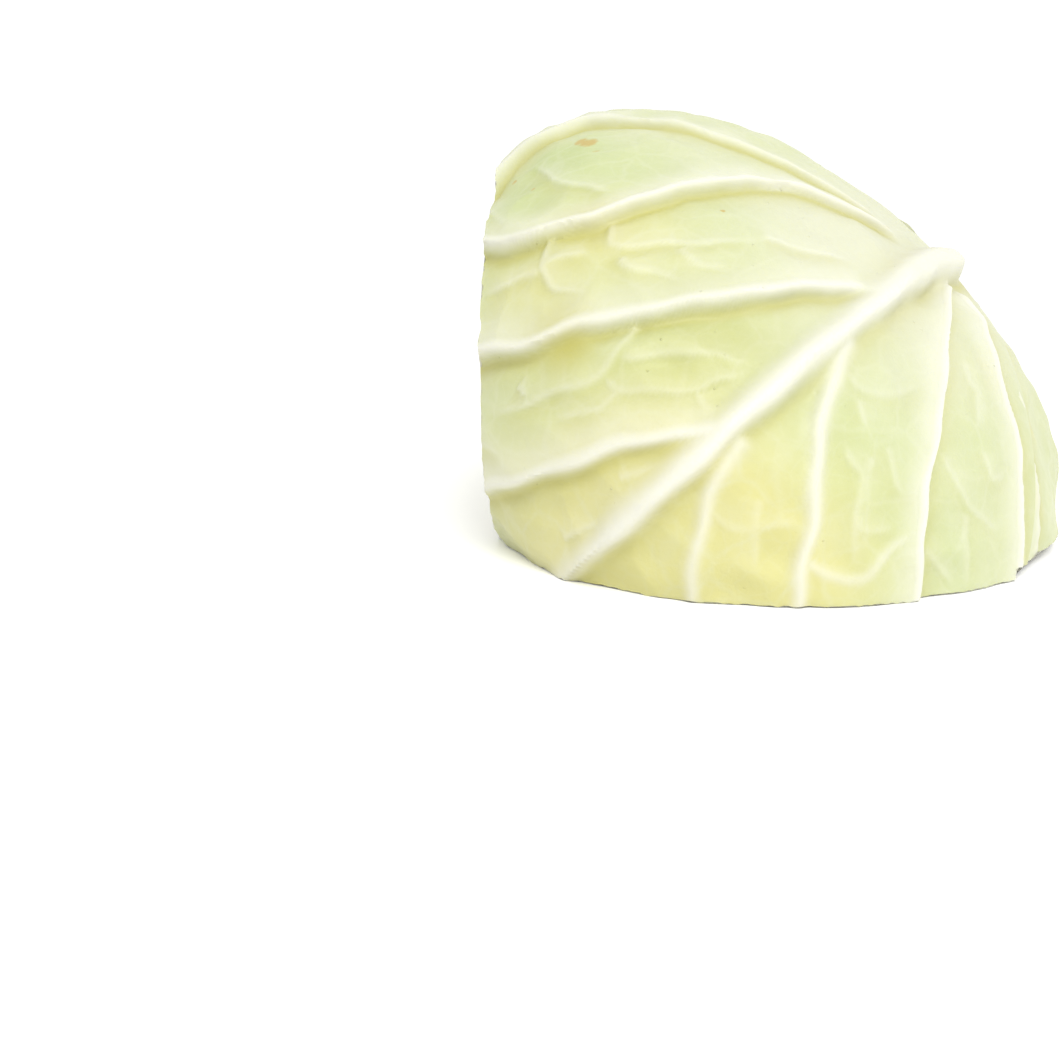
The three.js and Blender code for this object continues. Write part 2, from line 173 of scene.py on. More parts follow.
@dataclass
class Head:
    """The form of the whole head: a spheroid about the stem, with swells and folds."""

    radius: float = 117.5
    half_height: float = 77.3
    centre: Triple = (-10.2, 1.7, 25.6)
    stem_end: Triple = (0.6658, -0.2369, 0.7075)
    towards_midrib: Triple = (-0.296, -0.9543, -0.041)
    swells: tuple[Swell, ...] = (
        Swell(63, -83, 1.9, 12), Swell(87, -74, -3.0, 8), Swell(84, -56, -3.4, 6),
        Swell(24, -104, -1.2, 9), Swell(9, -125, -1.6, 5), Swell(15, 116, -1.8, 6),
        Swell(34, 95, 2.4, 9), Swell(60, 86, -3.0, 7),
    )
    folds: tuple[FoldWave, ...] = (
        FoldWave((0.9, 0.2, 0.4), (0.2, 1.0, 0.35), 61, 0.4),
        FoldWave((0.1, 0.9, -0.3), (1.0, -0.25, 0.5), 53, 2.1),
        FoldWave((-0.3, 0.2, 0.9), (0.7, 0.7, -0.6), 47, 4.0),
    )
    fold_depth: float = 2.4
    full_folds: float = 40.0
    crumple_seeds: tuple[int, ...] = (11, 23, 37)
    crumple_depth: float = 1.9
    crumple_length: float = 23.0
    crumple_span: Span = (14.0, 60.0)

    def __post_init__(self) -> None:
        """Works out the head's axes and the crumpling deep inside it."""
        self.middle = np.array(self.centre)
        self.axis = unit(self.stem_end)
        hint = np.array(self.towards_midrib)
        self.side = unit(hint - hint.dot(self.axis) * self.axis)
        self.across = np.cross(self.axis, self.side)
        self.crumples = [Waves(seed, self.crumple_length) for seed in self.crumple_seeds]

    def direction(self, lat: Array, lon: Array) -> Array:
        """Returns directions at latitudes and longitudes."""
        away, turn = np.radians(lat), np.radians(lon)
        rim = np.cos(turn)[..., None] * self.side + np.sin(turn)[..., None] * self.across
        return np.cos(away)[..., None] * self.axis + np.sin(away)[..., None] * rim

    def latlon(self, dirs: Array) -> tuple[Array, Array]:
        """Returns the latitudes and longitudes of directions, in degrees."""
        return angle(dirs, self.axis), np.degrees(np.arctan2(dirs @ self.across, dirs @ self.side))

    def surface(self, dirs: Array) -> Array:
        """Returns how far the head's surface is from its middle."""
        along = dirs @ self.axis
        across = np.sqrt(np.maximum(0, 1 - along**2))
        reach = 1 / np.hypot(along / self.half_height, across / self.radius)
        for swell in self.swells:
            off = angle(dirs, self.direction(swell.lat, swell.lon)) / swell.spread
            reach = reach + swell.rise * np.exp(-off * off / 2)
        return reach

    def skin(self, dirs: Array) -> Array:
        """Returns the points of the head's surface, from its middle."""
        return dirs * self.surface(dirs)[..., None]

    def normal(self, dirs: Array) -> Array:
        """Returns the outward normals of the spheroid."""
        along = (dirs @ self.axis)[..., None] * self.axis
        return unit((dirs - along) / self.radius**2 + along / self.half_height**2)

    def point(self, dirs: Array, depth: Array) -> Array:
        """Finds points under the surface, moved by the folds and crumples.

        Args:
            dirs: Directions.
            depth: Depths as they are where the head is widest.

        Returns:
            Points in the part's frame.
        """
        scale = 1 - depth / self.radius
        points = dirs * (self.surface(dirs) * scale)[..., None]
        share = np.minimum(1, depth / self.full_folds) * scale
        moved = points.copy()
        for fold in self.folds:
            travel = points @ unit(fold.along)
            wave = np.sin(2 * math.pi * travel / fold.length + fold.phase)
            moved += (self.fold_depth * share * wave)[..., None] * np.array(fold.push)
        crumple = self.crumple_depth * smoothstep(depth, *self.crumple_span)
        crumple = crumple * np.minimum(1, 2 * scale)
        shift = np.stack([wave.at(points) for wave in self.crumples], -1)
        return moved + crumple[..., None] * shift + self.middle


@dataclass
class Leaf:
    """One leaf of the head as the solids have it: a cap about a centre of its own."""

    head: Head
    lat: float
    lon: float
    reach: float
    foot: float
    wave: float
    midrib: float
    thickness: float
    gap: float
    phase: float
    edge_taper: float = 14.0
    pole_thinning: float = 0.4
    midrib_bulge: float = 1.6
    midrib_spread: float = 9.0
    own_side: float = 0.4

    MARGIN_STEP: ClassVar[float] = 0.5
    MARGIN_FROM: ClassVar[float] = 20.0
    MARGIN_PAST: ClassVar[float] = 8.0
    SMOOTHING: ClassVar[int] = 7

    def __post_init__(self) -> None:
        """Works out the leaf's centre and the bearings that its edge is measured by."""
        axis = self.head.axis
        self.centre = self.head.direction(self.lat, self.lon)
        self.to_stem = unit(axis - axis.dot(self.centre) * self.centre)
        self.over = np.cross(self.centre, self.to_stem)
        self.midrib_side = self.head.direction(90.0, self.midrib)

    def toward(self, away: Array, turn: Array) -> Array:
        """Returns directions so many degrees from the centre, at bearings round it."""
        away = np.radians(away)
        rim = np.cos(turn)[..., None] * self.to_stem + np.sin(turn)[..., None] * self.over
        return np.cos(away)[..., None] * self.centre + np.sin(away)[..., None] * rim

    def bearing(self, dirs: Array) -> Array:
        """Returns the bearings of directions round the centre, in radians."""
        return np.arctan2(dirs @ self.over, dirs @ self.to_stem)

    def own(self, dirs: Array) -> Array:
        """Returns 1 on the side of the stem where the midrib is, and 0 on the other."""
        return smoothstep(dirs @ self.midrib_side, 0, self.own_side)

    def share(self, dirs: Array) -> Array:
        """Returns how much of the leaf there is: 1 inside its waved edge, 0 outside."""
        turn = self.bearing(dirs)
        wave = np.sin(3 * turn + self.phase) + 0.6 * np.sin(5 * turn - 2 * self.phase)
        inside = self.reach + self.wave * wave - angle(dirs, self.centre)
        share = smoothstep(inside, 0, self.edge_taper)
        if self.foot:
            third = self.edge_taper / 3
            stem = angle(dirs, self.head.axis)
            share = share * smoothstep(stem, self.foot - third, self.foot + third)
        return share

    def margin(self, level: float) -> tuple[Array, Array]:
        """Finds where the leaf has thinned to a share, going out from its centre.

        Args:
            level: The share of its thickness that is left at the margin.

        Returns:
            Bearings once round the centre in radians, and the reach there in degrees.
        """
        turns = np.radians(np.arange(-180.0, 181.0))
        aways = np.arange(self.MARGIN_FROM, self.reach + self.MARGIN_PAST, self.MARGIN_STEP)
        shares = self.share(self.toward(aways[None, :], turns[:, None]))
        first = np.argmax(shares < level, axis=1)
        rows = np.arange(len(turns))
        before, after = shares[rows, first - 1], shares[rows, first]
        reach = aways[first - 1] + self.MARGIN_STEP * (before - level) / (before - after)
        half = self.SMOOTHING // 2
        ring = np.concatenate([reach[-half - 1 : -1], reach, reach[1 : half + 1]])
        return turns, np.convolve(ring, np.full(self.SMOOTHING, 1 / self.SMOOTHING), mode="valid")

    def build(self, dirs: Array) -> tuple[Array, Array]:
        """Returns the leaf's thickness, and the room that it takes with its gap."""
        along = dirs @ self.head.axis
        share = self.share(dirs) * (1 - self.pole_thinning * along**2)
        off = np.degrees(np.arcsin(np.clip(dirs @ np.cross(self.head.axis, self.midrib_side), -1, 1)))
        rib = self.midrib_bulge * bell(off, self.midrib_spread) * self.own(dirs)
        thickness = (self.thickness + rib) * share
        return thickness, thickness + self.gap * share


class Packing:
    """All the leaves of the head, from the outside in."""

    COUNT = 24
    SEED = 41
    TURN = 135
    OUTSIDE = (
        dict(lat=80, lon=-33, reach=82, foot=0, wave=1.2, midrib=0),
        dict(lat=82, lon=112, reach=94, foot=18, wave=2.5, midrib=150),
        dict(lat=78, lon=-150, reach=104, foot=0, wave=3, midrib=-138),
    )
    SWAY = 8
    LATS = (74, 82)
    REACHES = (100, 110)
    WAVE = 4
    THICKNESSES = (2.8, 6.8)
    GAPS = (0.8, 2.2)

    def __init__(self, head: Head) -> None:
        """Describes every leaf, with the draws in the order that the solids took them."""
        self.head = head
        self.leaves: list[Leaf] = []
        draws = Draws(self.SEED)
        for i in range(self.COUNT):
            share = i / (self.COUNT - 1)
            lon = self.OUTSIDE[2]["lon"] + self.TURN * (i - 2) + draws.between(-self.SWAY, self.SWAY)
            if i < len(self.OUTSIDE):
                plan = dict(self.OUTSIDE[i])
            else:
                lat, reach = draws.between(*self.LATS), draws.between(*self.REACHES)
                plan = dict(lat=lat, lon=lon, reach=reach, foot=0, wave=self.WAVE, midrib=lon)
            plan["thickness"] = lerp(*self.THICKNESSES, share)
            plan["gap"] = lerp(*self.GAPS, share)
            plan["phase"] = draws.between(0, 2 * math.pi)
            self.leaves.append(Leaf(head, **plan))

    def depth(self, number: int, dirs: Array) -> Array:
        """Returns how deep the outer skin of a leaf lies, counted from 0 outside."""
        depth = np.zeros(dirs.shape[:-1])
        for leaf in self.leaves[:number]:
            depth = depth + leaf.build(dirs)[1]
        return depth


# The camera, which the traced ribs and veins are seen by


def stand(name: str, data: bpy.types.ID, back: Array, right: Array, place: Array) -> Piece:
    """Adds a camera or a lamp to the scene.

    Args:
        name: Its name.
        data: Its settings.
        back: The direction behind it.
        right: The direction to its right.
        place: Where it is, in metres.

    Returns:
        The camera or lamp.
    """
    made = bpy.data.objects.new(name, data)
    bpy.context.scene.collection.objects.link(made)
    turn = np.eye(4)
    turn[:3, 2] = unit(back)
    turn[:3, 0] = unit(right)
    turn[:3, 1] = np.cross(turn[:3, 2], turn[:3, 0])
    turn[:3, 3] = place
    made.matrix_world = Matrix(turn.tolist())
    return made


@dataclass(frozen=True)
class Lens:
    """The camera that took the photograph, worked out from straight edges in it."""

    place: Triple = (-48.97, -353.07, 77.49)
    aim: Triple = (-0.09091, 0.96608, -0.24172)
    top: Triple = (-0.02577, 0.24037, 0.97034)
    focal_px: float = 1057.44
    frame_px: float = 1059.0
    sensor: float = 36.0
    rounds: int = 4

    def right(self) -> Array:
        """Returns the direction that runs to the right in the picture."""
        return np.cross(self.aim, self.top)

    def trace(self, head: Head, pixels: Array) -> Array:
        """Finds where pixels of the photograph lie on the head.

        Args:
            head: The head that the rays meet.
            pixels: Points in the 1059 by 1059 photograph, in rows.

        Returns:
            Directions. A ray that misses gives its nearest point.
        """
        offsets = (pixels - self.frame_px / 2) / self.focal_px
        aim, top = np.array(self.aim), np.array(self.top)
        rays = unit(aim + offsets[:, :1] * self.right() - offsets[:, 1:] * top)
        start = np.array(self.place) - head.middle
        squash = head.radius / head.half_height - 1
        ray = rays + (rays @ head.axis)[:, None] * squash * head.axis
        eye = start + start.dot(head.axis) * squash * head.axis
        a, b = (ray**2).sum(1), 2 * ray @ eye
        swell = np.ones(len(rays))
        for _ in range(self.rounds):
            c = eye.dot(eye) - (head.radius * swell) ** 2
            run = (-b - np.sqrt(np.maximum(0, b * b - 4 * a * c))) / (2 * a)
            dirs = unit(start + run[:, None] * rays)
            along = dirs @ head.axis
            plain = 1 / np.hypot(along / head.half_height, np.sqrt(1 - along**2) / head.radius)
            swell = head.surface(dirs) / plain
        return dirs

    def camera(self) -> Piece:
        """Adds the camera to the scene and returns it."""
        data = bpy.data.cameras.new("photo_camera")
        data.sensor_fit, data.sensor_width = "HORIZONTAL", self.sensor
        data.lens = self.sensor * self.focal_px / self.frame_px
        data.clip_start, data.clip_end = 0.01, 60.0
        place = np.array(self.place) * MM
        camera = stand("photo_camera", data, -np.array(self.aim), self.right(), place)
        bpy.context.scene.camera = camera
        return camera


# Ribs and veins


class Steep(Enum):
    """The side on which a rib drops steeply into a hollow, going out from the stem."""

    LEFT = 1
    RIGHT = -1
    NONE = 0


@dataclass(frozen=True)
class Rib:
    """A rib or vein that stands out of a leaf.

    The route is pixels of the photograph where traced is true, and latitudes and
    longitudes elsewhere. Width and height are at its start and its end.
    """

    route: Route
    width: Span
    height: Span
    steep: Steep = Steep.NONE
    # hollow sets both how deep the hollow beside the rib sinks and how strong its painted shade is.
    hollow: float = 0.0
    power: float = 2.0
    skirt: float = 0.8
    fade: float = 0.08
    tail: float = 0.0
    pale: float = 1.0
    traced: bool = True


class RibField:
    """What a set of ribs does to a leaf's skin: how high it stands, how pale, how shaded."""

    STEP = 0.8
    KNOT_STEPS = 16
    BLEND = 2.6
    CLOSE_WIDTHS = 4
    CLOSE_PAST = 6
    SKIRT_START = 1.5
    SKIRT_REACH = 3.4
    SKIRT_PALENESS = 0.7
    WANDER = 0.3
    WANDER_SEED = 61
    WANDER_LENGTH = 16.0
    FLANK = 0.28
    HOLLOW_START = 0.7
    HOLLOWS = ((0.6, 1.2, 2.1), (0.4, 2.6, 5.0))
    DEEPEST_SHADE = 0.75
    SHADE_FADE = 1.3

    def __init__(self, head: Head, lens: Lens, ribs: tuple[Rib, ...]) -> None:
        """Lays the routes of ribs out on a head, as a lens sees the traced ones."""
        self.head = head
        self.ribs = ribs
        self.paths = []
        for rib in ribs:
            knots = np.array(rib.route, float)
            dirs = lens.trace(head, knots) if rib.traced else head.direction(*knots.T)
            self.paths.append(self.spread(head.skin(dirs)))

    def spread(self, knots: Array) -> Array:
        """Returns evenly spaced points on a smooth curve through knots."""
        ends = np.vstack([2 * knots[0] - knots[1], knots, 2 * knots[-1] - knots[-2]])
        pieces = []
        shares = np.linspace(0, 1, self.KNOT_STEPS, endpoint=False)[:, None]
        for a, b, c, d in zip(ends, ends[1:], ends[2:], ends[3:]):
            cubic = (3 * b - a - 3 * c + d) * shares**3
            square = (2 * a - 5 * b + 4 * c - d) * shares**2
            pieces.append(b + ((c - a) * shares + square + cubic) / 2)
        curve = np.vstack(pieces + [knots[-1:]])
        run = np.concatenate([[0], np.cumsum(np.linalg.norm(np.diff(curve, axis=0), axis=1))])
        even = np.linspace(0, run[-1], max(3, round(run[-1] / self.STEP)))
        return np.stack([np.interp(even, run, curve[:, k]) for k in range(3)], 1)

    def near(self, path: Array, points: Array, dirs: Array) -> tuple[Array, Array, Array]:
        """Finds how points lie to a path.

        Args:
            path: Points along a rib.
            points: Points on the head, from its middle.
            dirs: Their directions.

        Returns:
            Distances, how far they are to the left (1) or right (-1) going along, and
            shares of the way along.
        """
        nearest = np.argmax(dirs @ unit(path).T, axis=1)
        ahead = unit(np.gradient(path, axis=0))
        left = np.cross(self.head.normal(unit(path)), ahead)
        offset = points - path[nearest]
        run = (offset * ahead[nearest]).sum(1)
        past = ((nearest == 0) & (run < 0)) | ((nearest == len(path) - 1) & (run > 0))
        square = (offset**2).sum(1)
        beside = np.sqrt(np.maximum(0, np.where(past, square, square - run**2)))
        aside = (offset * left[nearest]).sum(1)
        lean = aside / np.maximum(1e-6, np.hypot(aside, np.where(past, run, 0)))
        share = np.clip((nearest + run / self.STEP) / (len(path) - 1), 0, 1)
        return beside, lean, share

    def at(self, dirs: Array) -> tuple[Array, Array, Array]:
        """Returns the height over the plain leaf, the paleness and the shade in directions."""
        points = self.head.skin(dirs)
        raised, sunk, pale, shade = np.zeros((4, len(dirs)))
        wander = self.WANDER * Waves(self.WANDER_SEED, self.WANDER_LENGTH).at(points)
        for rib, path in zip(self.ribs, self.paths):
            centre = path.mean(0)
            span = np.linalg.norm(path - centre, axis=1).max() + self.CLOSE_PAST
            span += self.CLOSE_WIDTHS * max(rib.width)
            close = np.flatnonzero(((points - centre) ** 2).sum(1) < span**2)
            if not len(close):
                continue
            off, lean, share = self.near(path, points[close], dirs[close])
            off = np.abs(off + lean * wander[close])
            lean = lean * rib.steep.value
            half = lerp(*rib.width, share) / 2
            grows = smoothstep(share, 0, rib.fade) if rib.fade else np.ones(len(share))
            grows = grows * smoothstep(1 - share, 0, rib.tail) if rib.tail else grows
            high = lerp(*rib.height, share) * grows
            side = off * lean
            bump = bell(off, half * (1 - self.FLANK * lean), rib.power)
            skirt = rib.skirt * smoothstep(-side, 0, self.SKIRT_START * half)
            skirt = skirt * bell(off, self.SKIRT_REACH * half)
            raised[close] += (high * bump) ** self.BLEND + (high * skirt) ** self.BLEND
            # Paleness on a rib's crest is its own cream colour; the paleness carried onto its gentle side,
            # which faces the light, is partly painted highlight.
            lit = np.maximum(bump, self.SKIRT_PALENESS * skirt)
            pale[close] = np.maximum(pale[close], rib.pale * grows * lit)
            if rib.hollow:
                start = self.HOLLOW_START * half
                past = side - start
                dip = sum(deep * bell(past - middle, wide) for deep, middle, wide in self.HOLLOWS)
                dip = dip * smoothstep(past, -start, 0) * grows
                sunk[close] = np.maximum(sunk[close], rib.hollow * dip)
                shade[close] = np.maximum(shade[close], dip * min(self.DEEPEST_SHADE, rib.hollow))
        height = raised ** (1 / self.BLEND) - sunk * (1 - np.minimum(1, pale))
        pale = np.minimum(1, pale)
        return height, pale, shade * (1 - pale) ** self.SHADE_FADE


# The outermost leaf's ribs, as traced on the photograph. The side ribs on the left drop
# steeply on their lower side, which is to the left going out from the stem.
TRACED_RIBS = (
    Rib(
        ((9, 22), (14, 10), (24, 2), (38, -0.3), (52, -0.5)),
        (12, 9), (6.4, 4.0), Steep.LEFT, 0.7, power=3.0, skirt=0, fade=0, tail=0.6, pale=0.8, traced=False,
    ),
    Rib(
        ((14, 10), (24, 2), (34, 0), (44, -0.3), (55.5, -0.5), (70, -0.7), (82, -0.6), (93.5, -0.6),
         (112, -0.7)),
        (9, 7), (5.2, 2.6), Steep.LEFT, 0.5, power=2.2, skirt=0.25, fade=0.25, traced=False,
    ),
    Rib(
        ((11, 16), (14, 10), (24, 2), (38, -0.3), (52, -0.5)),
        (13, 9), (0.05, 0.05), Steep.RIGHT, 0.45, tail=0.5, pale=0, traced=False,
    ),
    Rib(
        ((885, 222), (850, 199), (810, 176), (770, 158), (733, 144), (695, 131), (650, 122), (613, 119),
         (583, 122)),
        (3, 4), (0.8, 1.6), Steep.LEFT, 0.7, tail=0.15, pale=0.6,
    ),
    Rib(
        ((655, 122), (613, 118), (583, 122), (545, 140), (515, 163), (498, 184)),
        (6, 9), (1.0, 3.2), Steep.LEFT, 1.1, fade=0.3, pale=0.75,
    ),
    Rib(
        ((905, 240), (846, 207), (808, 190), (770, 182), (733, 182), (700, 186), (670, 192), (640, 201),
         (607, 213), (589, 221), (550, 231), (520, 241), (490, 246), (450, 250)),
        (3.5, 5), (0.9, 2.9), Steep.LEFT, 1.5, pale=0.9,
    ),
    Rib(
        ((878, 292), (830, 288), (790, 288), (757, 293), (700, 302), (640, 313), (604, 320), (580, 326),
         (550, 339), (520, 347), (481, 353), (455, 360)),
        (5, 5), (1.6, 2.8), Steep.LEFT, 1.5, pale=0.9,
    ),
    Rib(
        ((745, 418), (703, 432), (658, 438), (620, 445), (583, 458), (545, 473), (492, 488), (470, 494)),
        (5, 5), (1.3, 2.2), Steep.LEFT, 1.0, pale=0.9,
    ),
    Rib(
        ((14, 20), (19, 18.5), (26, 17), (42, 19.3), (53, 21.7), (61.4, 23.8), (68, 26.7), (73.6, 30.5),
         (80, 35)),
        (3.6, 3.2), (1.7, 1.1), Steep.LEFT, 0.3, traced=False,
    ),
    Rib(
        ((13, 28), (18, 38), (22, 45), (28, 43), (33, 43.4), (41, 44.5), (48.6, 47.6), (56.7, 47.8),
         (66.6, 49.7), (72, 50)),
        (4.6, 3.4), (2.0, 1.2), Steep.LEFT, 0.35, traced=False,
    ),
    Rib(
        ((858, 335), (842, 358), (829, 390), (820, 428), (817, 466), (812, 522), (801, 571), (795, 612)),
        (4.5, 3.4), (0.9, 1.0), pale=0.8,
    ),
    Rib(
        ((752, 432), (714, 484), (703, 522), (692, 575), (688, 605)),
        (5, 3.4), (0.8, 0.7), pale=0.7,
    ),
    Rib(
        ((913, 533), (894, 548), (880, 561), (866, 576), (850, 581), (833, 577), (810, 565)),
        (3, 2.4), (0.5, 0.3), pale=0.5,
    ),
)

SECOND_LEAF_FOLDS = (
    Rib(
        ((986, 324), (1000, 346), (1013, 384), (1024, 420), (1031, 461), (1036, 500), (1036, 550)),
        (4, 3.4), (1.0, 0.9), Steep.LEFT, 0.5, pale=0.7,
    ),
)

# Fine veins on the photographed side, the clear ones and the faint ones
TRACED_VEINS = (
    ((615, 191), (592, 186), (570, 184), (552, 178), (540, 167), (528, 163)),
    ((511, 231), (502, 222), (493, 211), (487, 205)),
    ((552, 232), (544, 251), (541, 266), (545, 278), (552, 287), (570, 289), (583, 293), (596, 303),
     (608, 313)),
    ((541, 268), (533, 272), (518, 278), (502, 286), (476, 294)),
    ((543, 265), (560, 257), (577, 253), (594, 249)),
    ((610, 213), (610, 230), (612, 242), (634, 243), (661, 242), (700, 242), (738, 241), (775, 239)),
    ((677, 247), (688, 255), (700, 263), (717, 266), (740, 266)),
    ((623, 253), (621, 263), (633, 268), (654, 270), (680, 280), (700, 290)),
    ((638, 313), (631, 330), (621, 347), (604, 370), (585, 382), (562, 389), (537, 397), (527, 401),
     (504, 410), (480, 418)),
    ((619, 356), (642, 357), (680, 351), (719, 354), (742, 362), (770, 356)),
    ((602, 374), (612, 387), (623, 390), (642, 389), (663, 391), (680, 393), (700, 391), (719, 382),
     (738, 376), (775, 358)),
    ((623, 389), (608, 401), (600, 408), (577, 412), (560, 418), (543, 418)),
    ((516, 386), (527, 401)),
    ((694, 394), (700, 405), (709, 410), (722, 412)),
    ((478, 440), (489, 447), (501, 454), (510, 466)),
    ((615, 477), (642, 472), (671, 464), (700, 458)),
    ((560, 540), (577, 533), (600, 524), (629, 519)),
    ((760, 238), (789, 244), (812, 250), (836, 257), (861, 265)),
)
FAINT_VEINS = (
    ((860, 399), (864, 418), (867, 430)),
    ((847, 445), (852, 460), (863, 475), (861, 493), (858, 512), (856, 540), (857, 560), (859, 578)),
    ((872, 458), (864, 475)),
    ((858, 516), (862, 529), (884, 531), (900, 523)),
    ((886, 445), (892, 468), (898, 483), (909, 489), (924, 483)),
    ((963, 358), (967, 378), (976, 393), (976, 420), (972, 430)),
    ((982, 450), (988, 472), (997, 477), (1010, 474)),
    ((944, 450), (955, 474), (967, 502), (976, 512), (986, 519), (997, 527), (1012, 519)),
    ((969, 512), (968, 540), (967, 560), (965, 592)),
    ((926, 548), (940, 565), (951, 579), (958, 592)),
    ((763, 498), (757, 521), (753, 541), (754, 560), (755, 580)),
    ((836, 360), (850, 380), (868, 392), (890, 396), (915, 388), (938, 378)),
    ((700, 500), (720, 520), (748, 530), (780, 528), (808, 520)),
)

VEIN_WIDTH = (3.0, 2.4)
VEIN_HEIGHT = (0.38, 0.26)
VEIN_PALENESS = 0.36
VEIN_HOLLOW = 0.26
VEIN_TAIL = 0.35
FAINT = 0.45


def veins(routes: tuple[Route, ...], strength: float = 1.0) -> tuple[Rib, ...]:
    """Describes fine veins of a strength, whose lower side in the picture is the steep one."""
    height = (VEIN_HEIGHT[0] * strength, VEIN_HEIGHT[1] * strength)
    hollow, pale = VEIN_HOLLOW * strength, VEIN_PALENESS * math.sqrt(strength)
    made = []
    for route in routes:
        steep = Steep.LEFT if route[-1][0] < route[0][0] else Steep.RIGHT
        made.append(Rib(route, VEIN_WIDTH, height, steep, hollow, tail=VEIN_TAIL, pale=pale))
    return tuple(made)


RULED_SPAN = (28, 112)
RULED_WIDTH = (13, 8)
SIDE_RIBS = 6
SIDE_SPACING = 11
SIDE_STEPS = ((0, 0), (11, 9), (27, 20), (46, 29))
SIDE_WIDTH = (8, 6)
SIDE_HEIGHT = (2.4, 1.8)
SIDE_HOLLOW = 0.9
SIDE_VEINS = 14
SIDE_VEIN_SPACING = 6.5


def ruled_ribs(midrib: float, height: Span, turns: tuple[int, int]) -> tuple[Rib, ...]:
    """Describes the ribs of a leaf that the photograph doesn't show.

    Args:
        midrib: The longitude of its midrib.
        height: The midrib's height at both ends.
        turns: The sides that the side ribs take in turn, with 0 for none.

    Returns:
        The midrib, its side ribs and the veins between them.
    """
    first = RULED_SPAN[0]

    def branch(start: float, turn: int, steps: Route) -> Route:
        """Returns a route that leaves the midrib by steps down and out."""
        return tuple((start + down, midrib + turn * out) for down, out in steps)

    middle = tuple((lat, midrib) for lat in np.linspace(*RULED_SPAN, 4))
    ribs = [Rib(middle, RULED_WIDTH, height, power=2.5, fade=0, traced=False)]
    for k in range(SIDE_RIBS):
        turn = turns[k % 2]
        if turn:
            steep = Steep.LEFT if turn > 0 else Steep.RIGHT
            route = branch(first + SIDE_SPACING * (k + 0.5), turn, SIDE_STEPS)
            ribs.append(Rib(route, SIDE_WIDTH, SIDE_HEIGHT, steep, SIDE_HOLLOW, traced=False))
    for k in range(SIDE_VEINS):
        sway = 3 * math.sin(2.4 * k)
        steps = ((0, 0), (6, 7), (10, 15 + sway), (19, 22 + sway), (24, 33))
        route = branch(first + SIDE_VEIN_SPACING * (k + 0.8), -1 if k % 2 else 1, steps)
        ribs.append(Rib(route, VEIN_WIDTH, VEIN_HEIGHT, tail=VEIN_TAIL, pale=VEIN_PALENESS, traced=False))
    return tuple(ribs)


# Meshes


def let_go() -> None:
    """Leaves edit mode and selects nothing."""
    if bpy.context.object and bpy.context.object.mode != "OBJECT":
        bpy.ops.object.mode_set(mode="OBJECT")
    bpy.ops.object.select_all(action="DESELECT")


def take(piece: Piece, *others: Piece) -> None:
    """Selects pieces alone, the first of them active."""
    let_go()
    for each in (piece, *others):
        each.select_set(True)
    bpy.context.view_layer.objects.active = piece


def edit(kind: str, action: str) -> None:
    """Enters edit mode, and selects or deselects all of a kind of element."""
    bpy.ops.object.mode_set(mode="EDIT")
    bpy.ops.mesh.select_mode(type=kind)
    bpy.ops.mesh.select_all(action=action)


def read(items: bpy.types.bpy_prop_collection, key: str, width: int, kind: type) -> Array:
    """Returns a property of a mesh's elements, in rows of a width."""
    flat = np.empty(width * len(items), kind)
    items.foreach_get(key, flat)
    return flat.reshape(-1, width)


def places(piece: Piece) -> Array:
    """Returns the places of a mesh's vertices, in the mesh's own unit."""
    return read(piece.data.vertices, "co", 3, np.float32).astype(float)


def put(piece: Piece, points: Array) -> None:
    """Moves a mesh's vertices to places given in millimetres."""
    piece.data.vertices.foreach_set("co", (points * MM).astype(np.float32).ravel())
    piece.data.update()


def closed_sheet(name: str, outer: int, inner: int) -> Piece:
    """Makes two square sheets, one over the other, joined along their borders.

    Args:
        name: The piece's name.
        outer: Squares along a side of the upper sheet.
        inner: Squares along a side of the lower sheet.

    Returns:
        A closed piece from -1 to 1 each way, with its sheets at 1 and -1.
    """
    let_go()
    sheets = []
    for cells, height in ((inner, -1), (outer, 1)):
        bpy.ops.mesh.primitive_grid_add(
            x_subdivisions=cells, y_subdivisions=cells, size=2, location=(0, 0, height)
        )
        sheets.append(bpy.context.object)
        if height < 0:
            edit("FACE", "SELECT")
            bpy.ops.mesh.flip_normals()
            let_go()
    lower, sheet = sheets
    take(sheet, lower)
    bpy.ops.object.transform_apply(location=True, rotation=False, scale=False)
    bpy.ops.object.join()
    edit("EDGE", "DESELECT")
    bpy.ops.mesh.select_non_manifold(
        use_wire=False, use_multi_face=False, use_non_contiguous=False, use_verts=False
    )
    bpy.ops.mesh.bridge_edge_loops()
    let_go()
    sheet.name = name
    return sheet


def disc(square: Array) -> tuple[Array, Array]:
    """Rounds a square from -1 to 1 into a disc.

    Args:
        square: Places in the square.

    Returns:
        Their reach in the disc, from 0 to 1, and their bearings in radians.
    """
    u, v = square.T
    wide = np.abs(u) > np.abs(v)
    long, short = np.where(wide, u, v), np.where(wide, v, u)
    skew = math.pi / 4 * short / np.where(long == 0, 1, long)
    along_u = np.where(u > 0, 0, math.pi) + skew
    along_v = np.where(v > 0, math.pi / 2, -math.pi / 2) - skew
    turn = np.where(wide, along_u, along_v)
    return np.abs(long), np.arctan2(np.sin(turn), np.cos(turn))


def boolean(piece: Piece, tool: Piece, how: str) -> None:
    """Cuts or joins a closed piece with a closed tool, which is used up.

    Args:
        piece: The piece.
        tool: The tool. New faces take their material's number from it.
        how: DIFFERENCE, INTERSECT or UNION.
    """
    modifier = piece.modifiers.new(how, "BOOLEAN")
    modifier.operation, modifier.solver, modifier.object = how, "MANIFOLD", tool
    take(piece)
    bpy.ops.object.modifier_apply(modifier=modifier.name)
    bpy.data.objects.remove(tool)


def as_tool(tool: Piece) -> Piece:
    """Gives a tool the material number of cut faces, and returns it."""
    dress(tool, None, None)
    tool.data.polygons.foreach_set("material_index", [1] * len(tool.data.polygons))
    return tool


